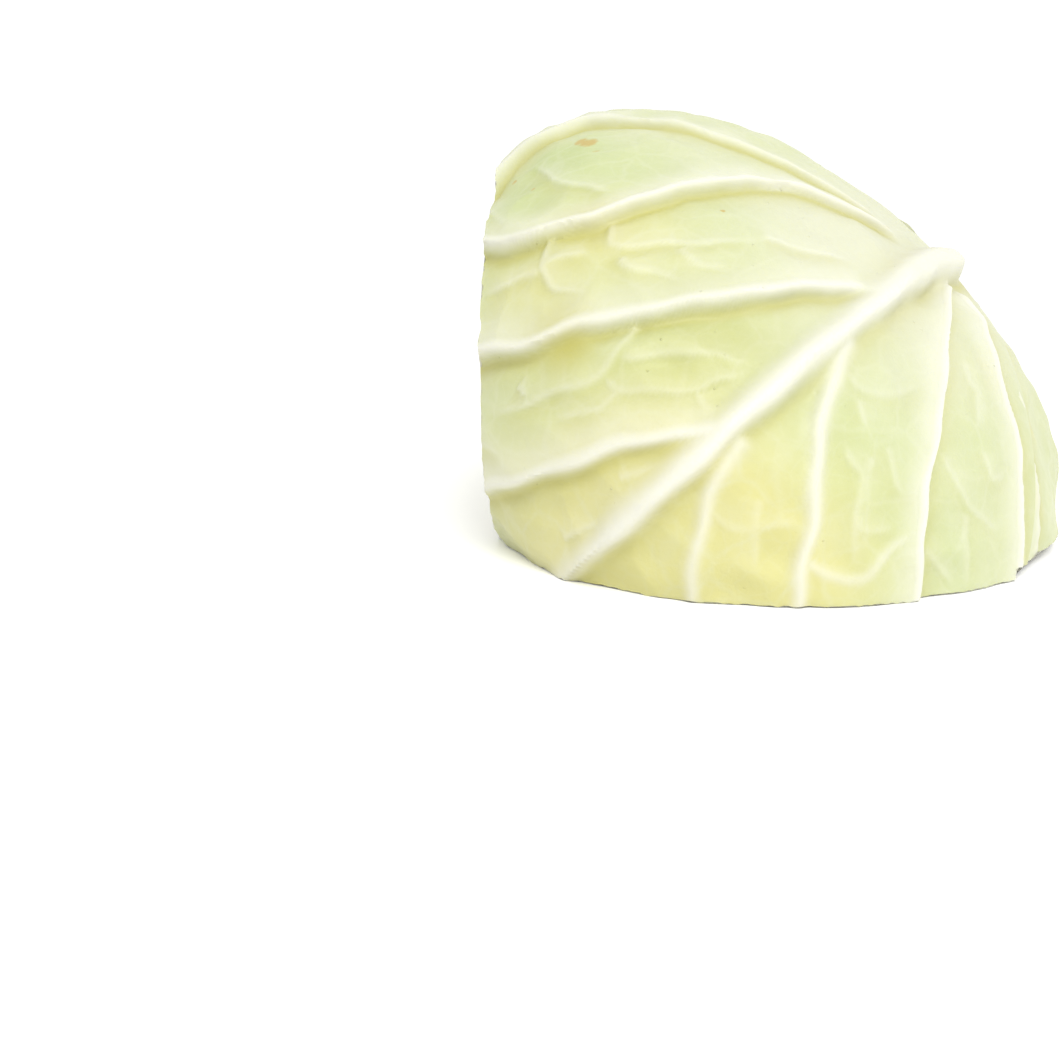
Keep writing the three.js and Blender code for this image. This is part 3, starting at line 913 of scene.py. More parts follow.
def drop_scraps(piece: Piece, least: float) -> None:
    """Deletes what a cut has left loose, up to a share of the piece's vertices."""
    count = len(piece.data.vertices)
    a, b = read(piece.data.edges, "vertices", 2, np.int32).T
    group = np.arange(count)
    while True:
        lower = np.minimum(group[a], group[b])
        merged = group.copy()
        np.minimum.at(merged, a, lower)
        np.minimum.at(merged, b, lower)
        merged = merged[merged]
        if (merged == group).all():
            break
        group = merged
    small = np.bincount(group, minlength=count)[group] < least * count
    if small.any():
        take(piece)
        edit("VERT", "DESELECT")
        bpy.ops.object.mode_set(mode="OBJECT")
        piece.data.vertices.foreach_set("select", small)
        bpy.ops.object.mode_set(mode="EDIT")
        bpy.ops.mesh.delete(type="VERT")
        let_go()


def note(piece: Piece, name: str, values: Array) -> None:
    """Keeps a number or a vector for each vertex under a name that materials read."""
    kind, key = ("FLOAT_VECTOR", "vector") if values.ndim == 2 else ("FLOAT", "value")
    attribute = piece.data.attributes.new(name, kind, "POINT")
    attribute.data.foreach_set(key, values.astype(np.float32).ravel())


def dress(piece: Piece, *materials: Material | None) -> None:
    """Gives a piece its materials."""
    piece.data.materials.clear()
    for material in materials:
        piece.data.materials.append(material)


def hand_over(piece: Piece, node: str, sharp: float = 50.0) -> None:
    """Smooths a finished piece and lets it stand for a CAD node.

    Args:
        piece: The piece.
        node: The node that it replaces.
        sharp: The angle in degrees past which an edge stays sharp.
    """
    take(piece)
    bpy.ops.object.shade_smooth_by_angle(angle=math.radians(sharp))
    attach(piece, "root")
    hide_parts(node)
    log.info("%s: %d faces for %s", piece.name, len(piece.data.polygons), node)


@dataclass
class KnifeCuts:
    """The level cut that the piece stands on, with its step, and the upright one.

    The cuts are flat in a bent space: before it, a leaf is shifted by how far the knife
    strayed and tore there, and afterwards it is shifted back.
    """

    upright_x: float = -86.4
    lean: float = 1.6
    step_x: float = 49.8
    step_height: float = 2.9
    step_slope: float = 1.5
    step_run: float = 1.0
    reach: float = 400.0
    tear: float = 0.55
    stray: float = 0.35

    def strayed(self, points: Array, seed: int) -> Array:
        """Returns how far a cut stands back at points."""
        fine, coarse = Waves(seed + 5, 2.6, 6), Waves(seed + 6, 11.0, 4)
        torn = 0.5 + 0.25 * fine.at(points) + 0.25 * coarse.at(points)
        return self.tear * np.clip(torn, 0, 1) + Draws(seed + 17).between(0, self.stray)

    def drop(self, points: Array, seed: int) -> Array:
        """Returns how high the level cut runs at points, with its step."""
        x = points[:, 0]
        rise = self.step_height + (x - self.step_x) * math.tan(math.radians(self.step_slope))
        rise = rise * smoothstep(x, self.step_x, self.step_x + self.step_run)
        return rise + self.strayed(points * (1, 1, 0), seed)

    def slant(self, points: Array, seed: int) -> Array:
        """Returns how far the upright cut leans out at points, in the bent space."""
        lean = points[:, 2] * math.tan(math.radians(self.lean))
        return lean - self.strayed(points * (0, 1, 1), seed + 100)

    def trim(self, piece: Piece, seed: int) -> None:
        """Cuts a closed piece as the knife did, with torn edges drawn from a seed."""
        points = places(piece) / MM
        points[:, 2] -= self.drop(points, seed)
        points[:, 0] += self.slant(points, seed)
        put(piece, points)
        boolean(piece, self.kept_room(), "INTERSECT")
        points = places(piece) / MM
        points[:, 0] -= self.slant(points, seed)
        points[:, 2] += self.drop(points, seed)
        put(piece, points)

    def kept_room(self) -> Piece:
        """Makes a block that fills the kept side of both cuts, in the bent space."""
        let_go()
        side = self.reach * MM
        middle = (self.upright_x * MM + side / 2, 0, side / 2)
        bpy.ops.mesh.primitive_cube_add(size=side, location=middle)
        return as_tool(bpy.context.object)


# Core, leaves and bud


@dataclass
class StemCore:
    """The solid stem that the leaves grow from, cut across at its stem end."""

    head: Head
    radius: float = 14.0
    tip: float = 7.0
    top: float = 75.6
    bottom: float = 14.0
    offset: float = -5.0
    gap: float = 0.4
    tuck: float = 2.2
    clear: float = 12.0
    sides: int = 72
    rings: tuple[float, ...] = (0.7, 0.9, 1.4, 1.8, 2.4, 2.6)
    dish: float = 0.7
    worn: float = 0.8
    knife_mark: float = 0.16

    def place(self, points: Array) -> Array:
        """Turns points of a core that stands along z to the stem."""
        head = self.head
        axes = np.stack([head.side, head.across, head.axis])
        return points @ axes + head.middle + self.offset * head.side

    def cone(self, low: Span, high: Span) -> Piece:
        """Makes a closed cone between two heights, each given with its radius."""
        let_go()
        bpy.ops.mesh.primitive_cone_add(
            vertices=self.sides, radius1=low[1], radius2=high[1], depth=high[0] - low[0],
            location=(0, 0, (low[0] + high[0]) / 2), end_fill_type="NGON",
        )
        bpy.ops.object.transform_apply(location=True, rotation=False, scale=False)
        return bpy.context.object

    def room(self, over: bool) -> Piece:
        """Makes the space that leaves keep free round the core.

        Args:
            over: Whether it includes the open space over the stump. A leaf that lies over
                the stump is cut less high instead, so that its outer skin stays whole.

        Returns:
            A closed tool in its place.
        """
        wide, high = self.radius + self.gap, self.top + (self.gap if over else -self.tuck)
        tool = self.cone((self.bottom - self.gap, self.tip + self.gap), (high, wide))
        if over:
            boolean(tool, self.cone((high - 0.5, wide), (high + self.clear, wide)), "UNION")
        put(tool, self.place(places(tool)))
        return as_tool(tool)

    def build(self, flesh: Material, stump: Material) -> None:
        """Makes the finished core, its stump with knife marks and a worn rim."""
        piece = self.cone((self.bottom, self.tip), (self.top, self.radius))
        piece.name = "stem_core"
        edit("FACE", "DESELECT")
        bpy.ops.object.mode_set(mode="OBJECT")
        for face in piece.data.polygons:
            face.select = face.normal.z > 0.9
            face.material_index = int(face.select)
        bpy.ops.object.mode_set(mode="EDIT")
        for ring in self.rings:
            bpy.ops.mesh.inset(thickness=ring, depth=0)
        bpy.ops.mesh.poke()
        bpy.ops.mesh.select_all(action="SELECT")
        bpy.ops.mesh.subdivide(number_cuts=1)
        let_go()
        points = places(piece)
        out = np.hypot(points[:, 0], points[:, 1]) / self.radius
        on_top = points[:, 2] > self.top - 0.01
        marks = self.knife_mark * np.sin(points[:, 0] * 2.1 + 0.6 * np.sin(points[:, 1] * 0.5))
        sunk = self.dish * smoothstep(out, 0.95, 0.1) + self.worn * smoothstep(out, 0.93, 1.0)
        points[:, 2] -= np.where(on_top, sunk + marks * (out < 0.9), 0)
        put(piece, self.place(points))
        dress(piece, flesh, stump)
        note(piece, "out", out)
        hand_over(piece, "core")


@dataclass
class CutPiece:
    """What every leaf piece has: its place in the packing, the cuts and two materials.

    Each kind has a scrap, the share of a piece up to which a loose part is dropped.
    """

    packing: Packing
    cuts: KnifeCuts
    skin: Material
    cut: Material

    def carve(self, piece: Piece, seed: int, over: bool) -> None:
        """Cuts a piece free of the core and along the knife cuts.

        Args:
            piece: A closed piece.
            seed: What its torn edges are drawn from.
            over: Whether it is cut back over the stump too.
        """
        dress(piece, self.skin, self.cut)
        boolean(piece, StemCore(self.packing.head).room(over), "DIFFERENCE")
        self.cuts.trim(piece, seed)
        drop_scraps(piece, self.scrap)
        numbers = read(piece.data.polygons, "material_index", 1, np.int32)
        dress(piece, self.skin, self.cut)
        piece.data.polygons.foreach_set("material_index", np.minimum(numbers, 1).ravel())


@dataclass(frozen=True)
class Tab:
    """A place where a leaf's margin reaches out further than its round outline."""

    lat: float
    lon: float
    reach: float
    width: float


@dataclass(frozen=True)
class Patch:
    """A stain or tint on a leaf about a pixel of the photograph, or a patch of painted olive shade."""

    x: float
    y: float
    spread: float
    green: float = 0.0
    straw: float = 0.0
    bleach: float = 0.0
    scar: float = 0.0
    # The olive amount is painted shade: darker olive laid on shaded areas of the leaf, not a stain.
    painted_shade: float = 0.0


# The olive amounts in these patches are painted shade on shaded parts of the leaf.
TRACED_PATCHES = (
    Patch(520, 200, 24, green=0.7), Patch(575, 150, 10, green=0.5), Patch(640, 165, 22, green=0.45),
    Patch(548, 160, 6, green=0.7), Patch(550, 262, 20, straw=0.3), Patch(720, 225, 18, green=0.3),
    Patch(520, 300, 16, straw=0.3), Patch(640, 365, 22, green=0.4, painted_shade=0.25),
    Patch(700, 348, 26, green=0.3, painted_shade=0.4), Patch(560, 345, 12, painted_shade=0.35),
    Patch(680, 462, 18, straw=0.3, painted_shade=0.25), Patch(540, 385, 16, green=0.3),
    Patch(740, 380, 16, green=0.3), Patch(640, 230, 16, straw=0.5),
    Patch(593, 226, 8, straw=0.3, painted_shade=0.6), Patch(565, 337, 9, straw=0.3, painted_shade=0.95),
    Patch(620, 470, 26, green=0.2, straw=0.45), Patch(520, 540, 24, straw=0.5),
    Patch(600, 570, 28, straw=0.7), Patch(700, 570, 26, straw=0.7), Patch(770, 545, 24, straw=0.55),
    Patch(830, 590, 18, straw=0.4), Patch(850, 430, 16, green=0.25), Patch(905, 420, 14, green=0.2),
    Patch(835, 500, 14, green=0.35), Patch(890, 540, 13, green=0.35), Patch(970, 430, 12, green=0.25),
    Patch(955, 560, 12, green=0.35), Patch(985, 370, 8, straw=0.4), Patch(860, 250, 34, bleach=0.8),
    Patch(800, 210, 26, bleach=0.4), Patch(930, 350, 22, bleach=0.6), Patch(700, 140, 24, bleach=0.3),
    Patch(588, 142, 3.0, scar=0.9), Patch(580, 141, 2.2, scar=0.8), Patch(595, 150, 1.3, scar=0.6),
    Patch(515, 183, 1.2, scar=0.8), Patch(533, 189, 0.9, scar=0.9), Patch(723, 211, 0.9, scar=1.0),
    Patch(888, 227, 1.2, scar=0.8), Patch(924, 256, 1.0, scar=0.9),
    Patch(734, 560, 1.6, straw=1.0, scar=0.3),
)

SECOND_LEAF_PATCHES = (
    Patch(985, 322, 3.0, scar=0.7), Patch(992, 326, 2.5, scar=0.6), Patch(1035, 430, 4, straw=0.6),
    Patch(1036, 498, 4, straw=0.6),
)


@dataclass
class WrapperLeaf(CutPiece):
    """A leaf that shows outside, with its ribs, its veins and its waved margin.

    Puffs, grain and facets are noise, each with its seed, height, length and wave count.
    """

    lens: Lens
    number: int
    ribs: tuple[Rib, ...]
    cells: tuple[int, int]
    tabs: tuple[Tab, ...] = ()
    patches: tuple[Patch, ...] = ()
    level: float = 0.02
    thinnest: float = 0.8
    clear: float = 1.1
    soft: float = 0.2
    puffs: tuple[int, float, float, int] = (71, 0.5, 30.0, 5)
    grain: tuple[int, float, float, int] = (83, 0.16, 9.0, 7)
    facets: tuple[int, float, float, int] = (97, 0.4, 24.0, 5)
    flattened: float = 0.7
    covered: float = 0.2
    scrap: float = 0.05
    base_bleach: float = 0.85
    base_span: Span = (-48, -14)

    def __post_init__(self) -> None:
        """Looks the leaf up."""
        self.head, self.leaf = self.packing.head, self.packing.leaves[self.number]

    def margin(self) -> tuple[Array, Array]:
        """Returns the leaf's reach at bearings round its centre, with its tabs."""
        turns, reach = self.leaf.margin(self.level)
        for tab in self.tabs:
            bearing = self.leaf.bearing(self.head.direction(tab.lat, tab.lon))
            reach = reach + tab.reach * bell(wrap(np.degrees(turns - bearing)), tab.width)
        return turns, reach

    def relief(self, dirs: Array) -> tuple[Array, Array, Array]:
        """Returns the height over the plain leaf, the paleness and the shade in directions."""
        height, pale, shade = RibField(self.head, self.lens, self.ribs).at(dirs)
        puffs, grain, facets = (
            high * Waves(self.number + seed, long, count).at(self.head.skin(dirs))
            for seed, high, long, count in (self.puffs, self.grain, self.facets)
        )
        height = height + (puffs + grain - np.abs(facets)) * (1 - self.flattened * pale)
        thickness, room = self.leaf.build(dirs)
        lowest = np.minimum(0, self.thinnest - thickness)
        height = lowest + self.soft * np.logaddexp(0, (height - lowest) / self.soft)
        height = height + np.maximum(0, self.clear - room)
        for outer in self.packing.leaves[: self.number]:
            bare = 1 - smoothstep(outer.share(dirs), 0, self.covered)
            height, pale, shade = height * bare, pale * bare, shade * bare
        return height, pale, shade

    def mesh(self) -> Piece:
        """Makes the closed leaf, uncut."""
        sheet = closed_sheet(f"wrapper_{self.number + 1}", *self.cells)
        raw = places(sheet)
        reach, turn = disc(raw[:, :2])
        dirs = self.leaf.toward(reach * np.interp(turn, *self.margin()), turn)
        top = raw[:, 2] > 0
        thickness, room = self.leaf.build(dirs)
        inner = np.maximum(thickness, self.thinnest - np.maximum(0, self.clear - room))
        depth = self.packing.depth(self.number, dirs) + np.where(top, 0, inner)
        points = self.head.point(dirs, depth)
        points[top] += self.relief(dirs[top])[0][:, None] * self.head.normal(dirs[top])
        put(sheet, points)
        return sheet

    def stain(self, dirs: Array) -> tuple[Array, Array, Array]:
        """Returns tints (green, straw and bleached), scars and painted olive shade in directions."""
        tints = np.zeros((len(dirs), 3))
        scars, painted_shade = np.zeros((2, len(dirs)))
        for patch in self.patches:
            middle = self.lens.trace(self.head, np.array([[patch.x, patch.y]]))[0]
            off = self.head.radius * np.linalg.norm(dirs - middle, axis=1)
            share = bell(off, patch.spread)
            tints += share[:, None] * np.array([patch.green, patch.straw, patch.bleach])
            scars = np.maximum(scars, patch.scar * bell(off, patch.spread, 4))
            painted_shade = np.maximum(painted_shade, patch.painted_shade * share)
        tints[:, 2] += self.base_bleach * smoothstep(-self.head.latlon(dirs)[0], *self.base_span)
        return np.minimum(tints, 1), scars, painted_shade

    def build(self) -> None:
        """Makes the finished leaf, and notes on it what its materials read."""
        piece = self.mesh()
        self.carve(piece, self.number, over=self.number > 0)
        dirs = unit(places(piece) / MM - self.head.middle)
        _, pale, shade = self.relief(dirs)
        tints, scars, painted_shade = self.stain(dirs)
        lat, lon = self.head.latlon(dirs)
        along, round_stem = np.radians([lat, wrap(lon - self.leaf.midrib)]) * self.head.radius * MM
        note(piece, "pale", pale)
        # The shade noted here is painted shade: olive in the hollows beside ribs and in the olive patches.
        note(piece, "shade", np.maximum(shade, painted_shade * (1 - pale)))
        note(piece, "tint", tints)
        note(piece, "scar", scars)
        note(piece, "grain", np.stack([along, round_stem, 0 * along], 1))
        hand_over(piece, f"wrapper_leaf_{self.number + 1}")


@dataclass
class PackedLeaves(CutPiece):
    """The leaves inside: each solid shell holds two thin leaves that lie in its room."""

    fine: int = 104
    coarse: int = 60
    fine_until: int = 12
    laminas: int = 2
    thickness: Span = (1.1, 1.6)
    midrib: float = 3.2
    midrib_width: float = 4.5
    midrib_sway: float = 14.0
    wave_length: float = 19.0
    wave_seed: int = 200
    fullest: float = 0.86
    level: float = 0.25
    scrap: float = 0.04
    sharp: float = 40.0

    def __post_init__(self) -> None:
        """Keeps a place for the sheets that are copied for every leaf."""
        self.stock: dict[int, bpy.types.Mesh] = {}

    def sheet(self, cells: int) -> Piece:
        """Returns a new closed sheet, modelled once for each size and then copied."""
        if cells not in self.stock:
            first = closed_sheet("sheet", cells, cells)
            self.stock[cells] = first.data
            bpy.data.objects.remove(first)
        piece = bpy.data.objects.new("sheet", self.stock[cells].copy())
        bpy.context.scene.collection.objects.link(piece)
        return piece

    def lamina(self, number: int, layer: int, cells: int) -> Piece:
        """Makes one thin leaf in its share of a shell's room.

        Args:
            number: The shell's number from 0 outside.
            layer: The leaf's place in the shell, from 0 outside.
            cells: Squares along a side of its sheets.

        Returns:
            The closed leaf, uncut.
        """
        leaf, head = self.packing.leaves[number], self.packing.head
        sheet = self.sheet(cells)
        raw = places(sheet)
        reach, turn = disc(raw[:, :2])
        dirs = leaf.toward(reach * np.interp(turn, *leaf.margin(self.level)), turn)
        room = leaf.build(dirs)[1] / self.laminas
        lat, lon = head.latlon(dirs)
        sway = self.midrib_sway * (layer - 0.5)
        off = wrap(lon - leaf.midrib - sway) * np.sin(np.radians(lat))
        rib = self.midrib * bell(off, self.midrib_width) * leaf.own(dirs)
        plain = lerp(*self.thickness, number / self.packing.COUNT)
        thick = np.minimum(plain + rib, self.fullest * room)
        waves = Waves(3 * number + layer + self.wave_seed, self.wave_length)
        lift = np.clip(0.5 + 0.5 * waves.at(head.skin(dirs)), 0, 1)
        free = (self.fullest * room - thick) * lift
        depth = self.packing.depth(number, dirs) + layer * room + free
        put(sheet, head.point(dirs, depth + np.where(raw[:, 2] > 0, 0, thick)))
        return sheet

    def build(self, number: int) -> None:
        """Makes the finished leaves of one shell."""
        cells = self.fine if number < self.fine_until else self.coarse
        layers = [self.lamina(number, layer, cells) for layer in range(self.laminas)]
        take(*layers)
        bpy.ops.object.join()
        piece = layers[0]
        piece.name = f"packed_{number + 1:02d}"
        self.carve(piece, number, over=True)
        note(piece, "inner", np.full(len(piece.data.vertices), number / self.packing.COUNT))
        hand_over(piece, f"head_leaf_{number + 1:02d}", self.sharp)


@dataclass
class HeartBud(CutPiece):
    """The crumpled leaves at the heart, too tight to lie in shells.

    Crumples are noise, each with its seed, height and length.
    """

    crumples: tuple[tuple[int, float, float], ...] = ((301, 1.6, 17.0), (302, 0.8, 7.0))
    size: float = 40.0
    clear: float = 0.6
    seed: int = 90
    scrap: float = 0.2

    def build(self) -> None:
        """Makes the finished bud."""
        let_go()
        bpy.ops.mesh.primitive_ico_sphere_add(subdivisions=6, radius=1)
        bud = bpy.context.object
        bud.name = "heart_leaves"
        dirs = unit(places(bud))
        depth = self.packing.depth(self.packing.COUNT, dirs) + self.clear
        for seed, high, long in self.crumples:
            depth = depth + high * np.abs(Waves(seed, long).at(dirs * self.size))
        put(bud, self.packing.head.point(dirs, depth))
        self.carve(bud, self.seed, over=False)
        note(bud, "inner", np.ones(len(bud.data.vertices)))
        hand_over(bud, "heart_bud")


# Finishes


def node(
    tree: bpy.types.NodeTree, kind: str, inputs: dict | None = None, out: int | str = 0, **settings: object
) -> Socket | None:
    """Adds a node to a material.

    Args:
        tree: The material's nodes.
        kind: The node's kind, without the ShaderNode before it.
        inputs: Sockets by name or number, with a value or an output that goes in.
        out: The output that is wanted.
        settings: The node's own settings.

    Returns:
        That output, if the node has any.
    """
    made = tree.nodes.new("ShaderNode" + kind)
    for name, value in settings.items():
        setattr(made, name, value)
    for socket, value in (inputs or {}).items():
        if isinstance(value, bpy.types.NodeSocket):
            tree.links.new(value, made.inputs[socket])
        else:
            made.inputs[socket].default_value = value
    return made.outputs[out] if made.outputs else None


class Graph:
    """The nodes of a new material, and the few steps that the finishes are made of."""

    def __init__(self, name: str) -> None:
        """Starts a material with nothing but the places in the piece's own space."""
        self.material = bpy.data.materials.new(name)
        self.material.use_nodes = True
        self.tree = self.material.node_tree
        self.tree.nodes.clear()
        self.place = node(self.tree, "TexCoord", out="Object")

    def noted(self, name: str, out: str = "Fac") -> Socket:
        """Reads what is noted on the mesh under a name."""
        return node(self.tree, "Attribute", out=out, attribute_name=name)

    def noise(self, size: float) -> Socket:
        """Adds noise with lumps of a size in millimetres."""
        return node(self.tree, "TexNoise", {"Vector": self.place, "Scale": 1 / (size * MM), "Detail": 4.0})

    def cells(self, place: Socket, size: float, feature: str = "F1") -> Socket:
        """Adds the distance to the middle or the edge of cells of a size in millimetres."""
        inputs = {"Vector": place, "Scale": 1 / (size * MM)}
        return node(self.tree, "TexVoronoi", inputs, "Distance", feature=feature)

    def ramp(self, value: Socket, span: Span, ends: Span = (0.0, 1.0), smooth: bool = False) -> Socket:
        """Turns a span of values into a change between two ends, and levels off outside it."""
        inputs = dict(enumerate((value, *span, *ends)))
        kind = "SMOOTHSTEP" if smooth else "LINEAR"
        return node(self.tree, "MapRange", inputs, interpolation_type=kind)

    def blend(self, amount: Socket, under: Socket | str, over: str) -> Socket:
        """Lays a colour over another by an amount from 0 to 1."""
        base = linear(under) if isinstance(under, str) else under
        return node(self.tree, "Mix", {0: amount, 6: base, 7: linear(over)}, 2, data_type="RGBA")

    def bump(self, height: Socket, rise: float, normal: Socket | None = None) -> Socket:
        """Adds relief with a rise in millimetres, over other relief if there is any."""
        inputs = {"Distance": rise * MM, "Height": height}
        return node(self.tree, "Bump", inputs | ({"Normal": normal} if normal else {}))


@dataclass(frozen=True)
class Finish:
    """What the finishes of the cabbage share. Light enters them and spreads under the skin."""

    name: str = "finish"
    glow: float = 0.2
    glow_radius: Triple = (1.0, 0.9, 0.45)
    glow_depth: float = 1.2
    roughness: float = 0.42
    coat: float = 0.1

    def surface(self, graph: Graph, colour: Socket | tuple, **more: object) -> Material:
        """Ends a material with its surface.

        Args:
            graph: The material's nodes.
            colour: The surface's colour, or what it comes from.
            more: Other sockets of the surface, by name with _ for a space.

        Returns:
            The material.
        """
        inputs = {
            "Base Color": colour,
            "Roughness": self.roughness,
            "Coat Weight": self.coat,
            "Coat Roughness": 0.2,
            "Subsurface Weight": self.glow,
            "Subsurface Radius": self.glow_radius,
            "Subsurface Scale": self.glow_depth * MM,
        }
        inputs.update({name.replace("_", " "): value for name, value in more.items()})
        node(graph.tree, "OutputMaterial", {"Surface": node(graph.tree, "BsdfPrincipled", inputs)})
        return graph.material


@dataclass(frozen=True)
class WrapperSkin(Finish):
    """Waxy skin of an outside leaf.

    To the eye: a pale yellow green that drifts to greener, straw and bleached patches, with
    cream ribs whose paleness spreads as partly painted highlight onto their lit side, painted
    olive shade in the hollows beside them and in shaded patches, a soft whitish net of veins
    and a moist sheen.
    """

    name: str = "waxy cabbage leaf skin"
    lamina: str = "b1b68c"
    lamina_light: str = "b7bb97"
    tints: tuple[str, str, str] = ("a7b17a", "beba80", "bcbda4")
    rib: str = "cccbbf"
    # Colour of the painted shade in hollows beside ribs and in shaded patches.
    hollow: str = "a5a054"
    scar: str = "ac9a5c"
    vein: str = "c1c3aa"
    mottle: float = 15.0
    net: tuple[Triple, ...] = ((15.0, 0.55, 0.16), (5.0, 0.28, 0.08))
    net_warp: float = 2.5
    warp_size: float = 9.0
    relief: tuple[Span, ...] = ((5.0, 0.3), (0.9, 0.06))
    dew_spacing: float = 4.0
    dew_size: float = 0.1
    dew_height: float = 0.25
    wet_size: float = 22.0
    sheen: Span = (0.46, 0.62)
    sheen_size: float = 6.0
    shine: float = 0.3
    scar_edge: float = 1.6

    def dew(self, graph: Graph) -> Socket:
        """Adds scattered droplets, and returns how high they stand from 0 to 1."""
        far = graph.cells(graph.place, self.dew_spacing)
        drop = graph.ramp(far, (0.0, self.dew_size), (1.0, 0.0), smooth=True)
        wet = graph.ramp(graph.noise(self.wet_size), (0.5, 0.6))
        return node(graph.tree, "Math", {0: drop, 1: wet}, operation="MULTIPLY")

    def ragged(self, graph: Graph, amount: Socket) -> Socket:
        """Gives a stain an uneven edge, and returns it."""
        uneven = {0: graph.noise(self.scar_edge), 1: 0.9, 2: amount}
        torn = node(graph.tree, "Math", uneven, operation="MULTIPLY_ADD")
        return graph.ramp(torn, (0.75, 1.2))

    def material(self) -> Material:
        """Returns the finish as a material."""
        graph = Graph(self.name)
        tree = graph.tree
        tints = node(tree, "SeparateXYZ", {0: graph.noted("tint", "Vector")}).node.outputs
        warp = node(tree, "TexNoise", {"Vector": graph.place, "Scale": 1 / (self.warp_size * MM)}, "Color")
        sway = {0: warp, 1: (2 * self.net_warp * MM,) * 3, 2: graph.noted("grain", "Vector")}
        wavy = node(tree, "VectorMath", sway, operation="MULTIPLY_ADD")
        mottle = graph.ramp(graph.noise(self.mottle), (0.35, 0.65))
        colour = graph.blend(mottle, self.lamina, self.lamina_light)
        layers = list(zip(tints, self.tints))
        for cell, half, strength in self.net:
            edge = graph.cells(wavy, cell, "DISTANCE_TO_EDGE")
            lines = graph.ramp(edge, (0.0, 2.2 * half / cell), (strength, 0.0), smooth=True)
            layers.append((lines, self.vein))
        layers += [
            (graph.noted("pale"), self.rib),
            # Painted olive shade, read from the shade noted on the mesh.
            (graph.noted("shade"), self.hollow),
            (self.ragged(graph, graph.noted("scar")), self.scar),
        ]
        for amount, over in layers:
            colour = graph.blend(amount, colour, over)
        rough = graph.ramp(graph.noise(self.sheen_size), (0.3, 0.7), self.sheen)
        normal = None
        for size, height in self.relief:
            normal = graph.bump(graph.noise(size), height, normal)
        normal = graph.bump(self.dew(graph), self.dew_height, normal)
        return self.surface(graph, colour, Roughness=rough, Normal=normal, Specular_IOR_Level=self.shine)


@dataclass(frozen=True)
class Layer:
    """A colour laid over the ones under it, where a source says, up to a share.

    The source is the name of a number noted on the mesh, or the size of noise.
    """

    source: str | float
    colour: str
    span: Span = (0.0, 1.0)
    most: float = 1.0
    smooth: bool = False


@dataclass(frozen=True)
class LayeredFinish(Finish):
    """A finish made of colours in layers, with relief from noise of a size or, at 0, the last layer."""

    base: str = "ffffff"
    layers: tuple[Layer, ...] = ()
    relief_size: float = 0.0
    relief: float = 0.1

    def material(self) -> Material:
        """Returns the finish as a material."""
        graph, colour = Graph(self.name), self.base
        for layer in self.layers:
            noted = isinstance(layer.source, str)
            source = graph.noted(layer.source) if noted else graph.noise(layer.source)
            amount = graph.ramp(source, layer.span, (0.0, layer.most), layer.smooth)
            colour = graph.blend(amount, colour, layer.colour)
        height = graph.noise(self.relief_size) if self.relief_size else amount
        return self.surface(graph, colour, Normal=graph.bump(height, self.relief))


@dataclass(frozen=True)
class PackedSkin(LayeredFinish):
    """Skin of the leaves inside.

    To the eye: smooth and pale, from a greenish cream outside to a yellow cream at the heart,
    seen in the gaps between cut edges.
    """

    name: str = "pale inner leaf skin"
    base: str = "b5b792"
    layers: tuple[Layer, ...] = (Layer("inner", "bdb78c"), Layer(7.0, "c1bfae", (0.45, 0.6), 0.6))
    relief_size: float = 1.5
    relief: float = 0.08


@dataclass(frozen=True)
class CutLeaf(LayeredFinish):
    """Freshly cut edge of a leaf.

    To the eye: creamy white and wet, a little rougher than the skin, with faint green.
    """

    name: str = "fresh cut leaf edge"
    base: str = "c0bda9"
    layers: tuple[Layer, ...] = (Layer(5.0, "b4b694", (0.35, 0.7), 0.7),)
    relief_size: float = 0.7
    relief: float = 0.12
    roughness: float = 0.32
    coat: float = 0.3


@dataclass(frozen=True)
class StemFlesh(LayeredFinish):
    """Dense flesh of the stem.

    To the eye: nearly white, with faint fibres that run along it.
    """

    name: str = "white stem flesh"
    base: str = "bfbcac"
    layers: tuple[Layer, ...] = (Layer(2.0, "b2b08f", (0.4, 0.65), 0.6),)


@dataclass(frozen=True)
class DryStump(LayeredFinish):
    """Trimmed end of the stem that has dried.

    To the eye: tan and matt, with a darker ring of fibres near its rim and a paler pith.
    """

    name: str = "dried stump"
    base: str = "b0a88a"
    layers: tuple[Layer, ...] = (
        Layer("out", "978960", (0.5, 0.78), smooth=True),
        Layer("out", "7d6f43", (0.88, 1.0), smooth=True),
        Layer(1.2, "7d6f43", (0.45, 0.7), 0.5),
    )
    relief: float = 0.2
    roughness: float = 0.7
    coat: float = 0.0


@dataclass(frozen=True)
class PaleGround(Finish):
    """Plain ground. To the eye: an even white with no shine."""

    name: str = "white ground"
    white: str = "fbfbfa"
    glow: float = 0.0
    roughness: float = 0.9
    coat: float = 0.0

    def material(self) -> Material:
        """Returns the finish as a material."""
        return self.surface(Graph(self.name), linear(self.white), Specular_IOR_Level=0.0)


# The studio


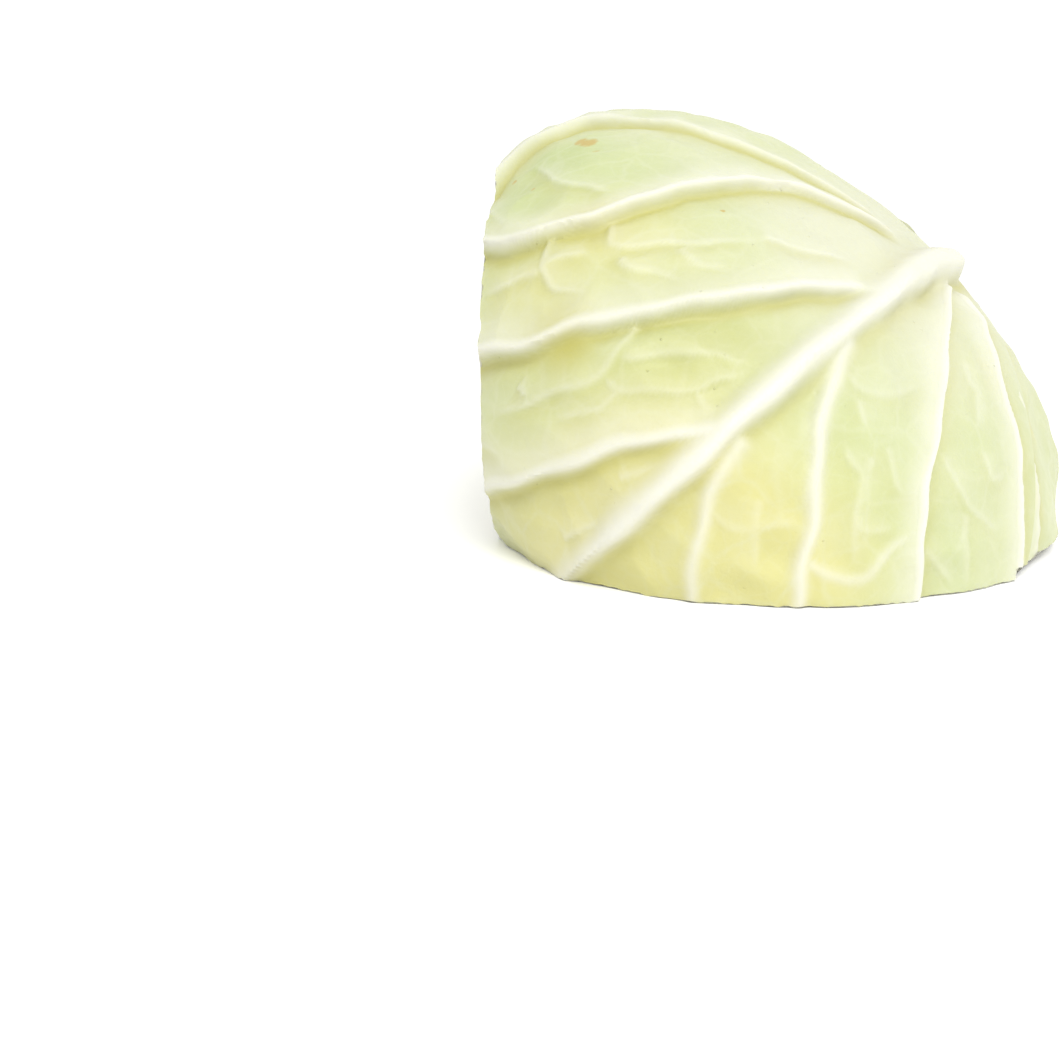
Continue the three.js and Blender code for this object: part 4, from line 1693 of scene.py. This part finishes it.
@dataclass
class Studio:
    """A white ground, an even white surround, and soft square lamps that point at the piece.

    Each lamp has its name, its place and side in metres, and its power in watts.
    """

    ground: float = 40.0
    surround: float = 1.06
    lamps: tuple[tuple[str, Triple, float, float], ...] = (
        ("key", (0.3, -1.35, 1.5), 1.1, 26.5),
        ("fill", (1.6, -0.9, 0.8), 1.2, 4),
    )

    def build(self) -> None:
        """Sets the ground, the surround and the lamps up."""
        let_go()
        bpy.ops.mesh.primitive_plane_add(size=self.ground)
        floor = bpy.context.object
        floor.name = "ground"
        dress(floor, PaleGround().material())
        world = bpy.data.worlds.new("surround")
        world.use_nodes = True
        sky = world.node_tree.nodes["Background"].inputs
        sky["Strength"].default_value, sky["Color"].default_value = self.surround, (1, 1, 1, 1)
        bpy.context.scene.world = world
        bpy.context.scene.view_settings.view_transform = "Standard"
        for name, place, size, power in self.lamps:
            data = bpy.data.lights.new(name, "AREA")
            data.shape, data.size, data.energy = "SQUARE", size, power
            stand(name, data, place, np.cross((0, 0, 1), place), place)


def main() -> None:
    """Builds every piece and the studio."""
    logging.basicConfig(level=logging.INFO, format="%(message)s")
    head, lens, cuts = Head(), Lens(), KnifeCuts()
    packing, cut = Packing(head), CutLeaf().material()
    outside = (packing, cuts, WrapperSkin().material(), cut, lens)
    inside = (packing, cuts, PackedSkin().material(), cut)
    traced = TRACED_RIBS + veins(TRACED_VEINS) + veins(FAINT_VEINS, FAINT)
    tabs = (Tab(25, 62, 3.0, 24), Tab(9.4, -135, 5.0, 14))
    WrapperLeaf(*outside, 0, traced, (392, 80), tabs, TRACED_PATCHES).build()
    ribs = SECOND_LEAF_FOLDS + ruled_ribs(150, (1.6, 3.2), (0, 1))
    WrapperLeaf(*outside, 1, ribs, (240, 80), patches=SECOND_LEAF_PATCHES).build()
    WrapperLeaf(*outside, 2, ruled_ribs(-138, (1.0, 2.8), (-1, 1)), (200, 80)).build()
    packed = PackedLeaves(*inside)
    for number in range(len(Packing.OUTSIDE), Packing.COUNT):
        packed.build(number)
    HeartBud(*inside).build()
    StemCore(head).build(StemFlesh().material(), DryStump().material())
    Studio().build()
    lens.camera()


if __name__ == "__main__":
    main()
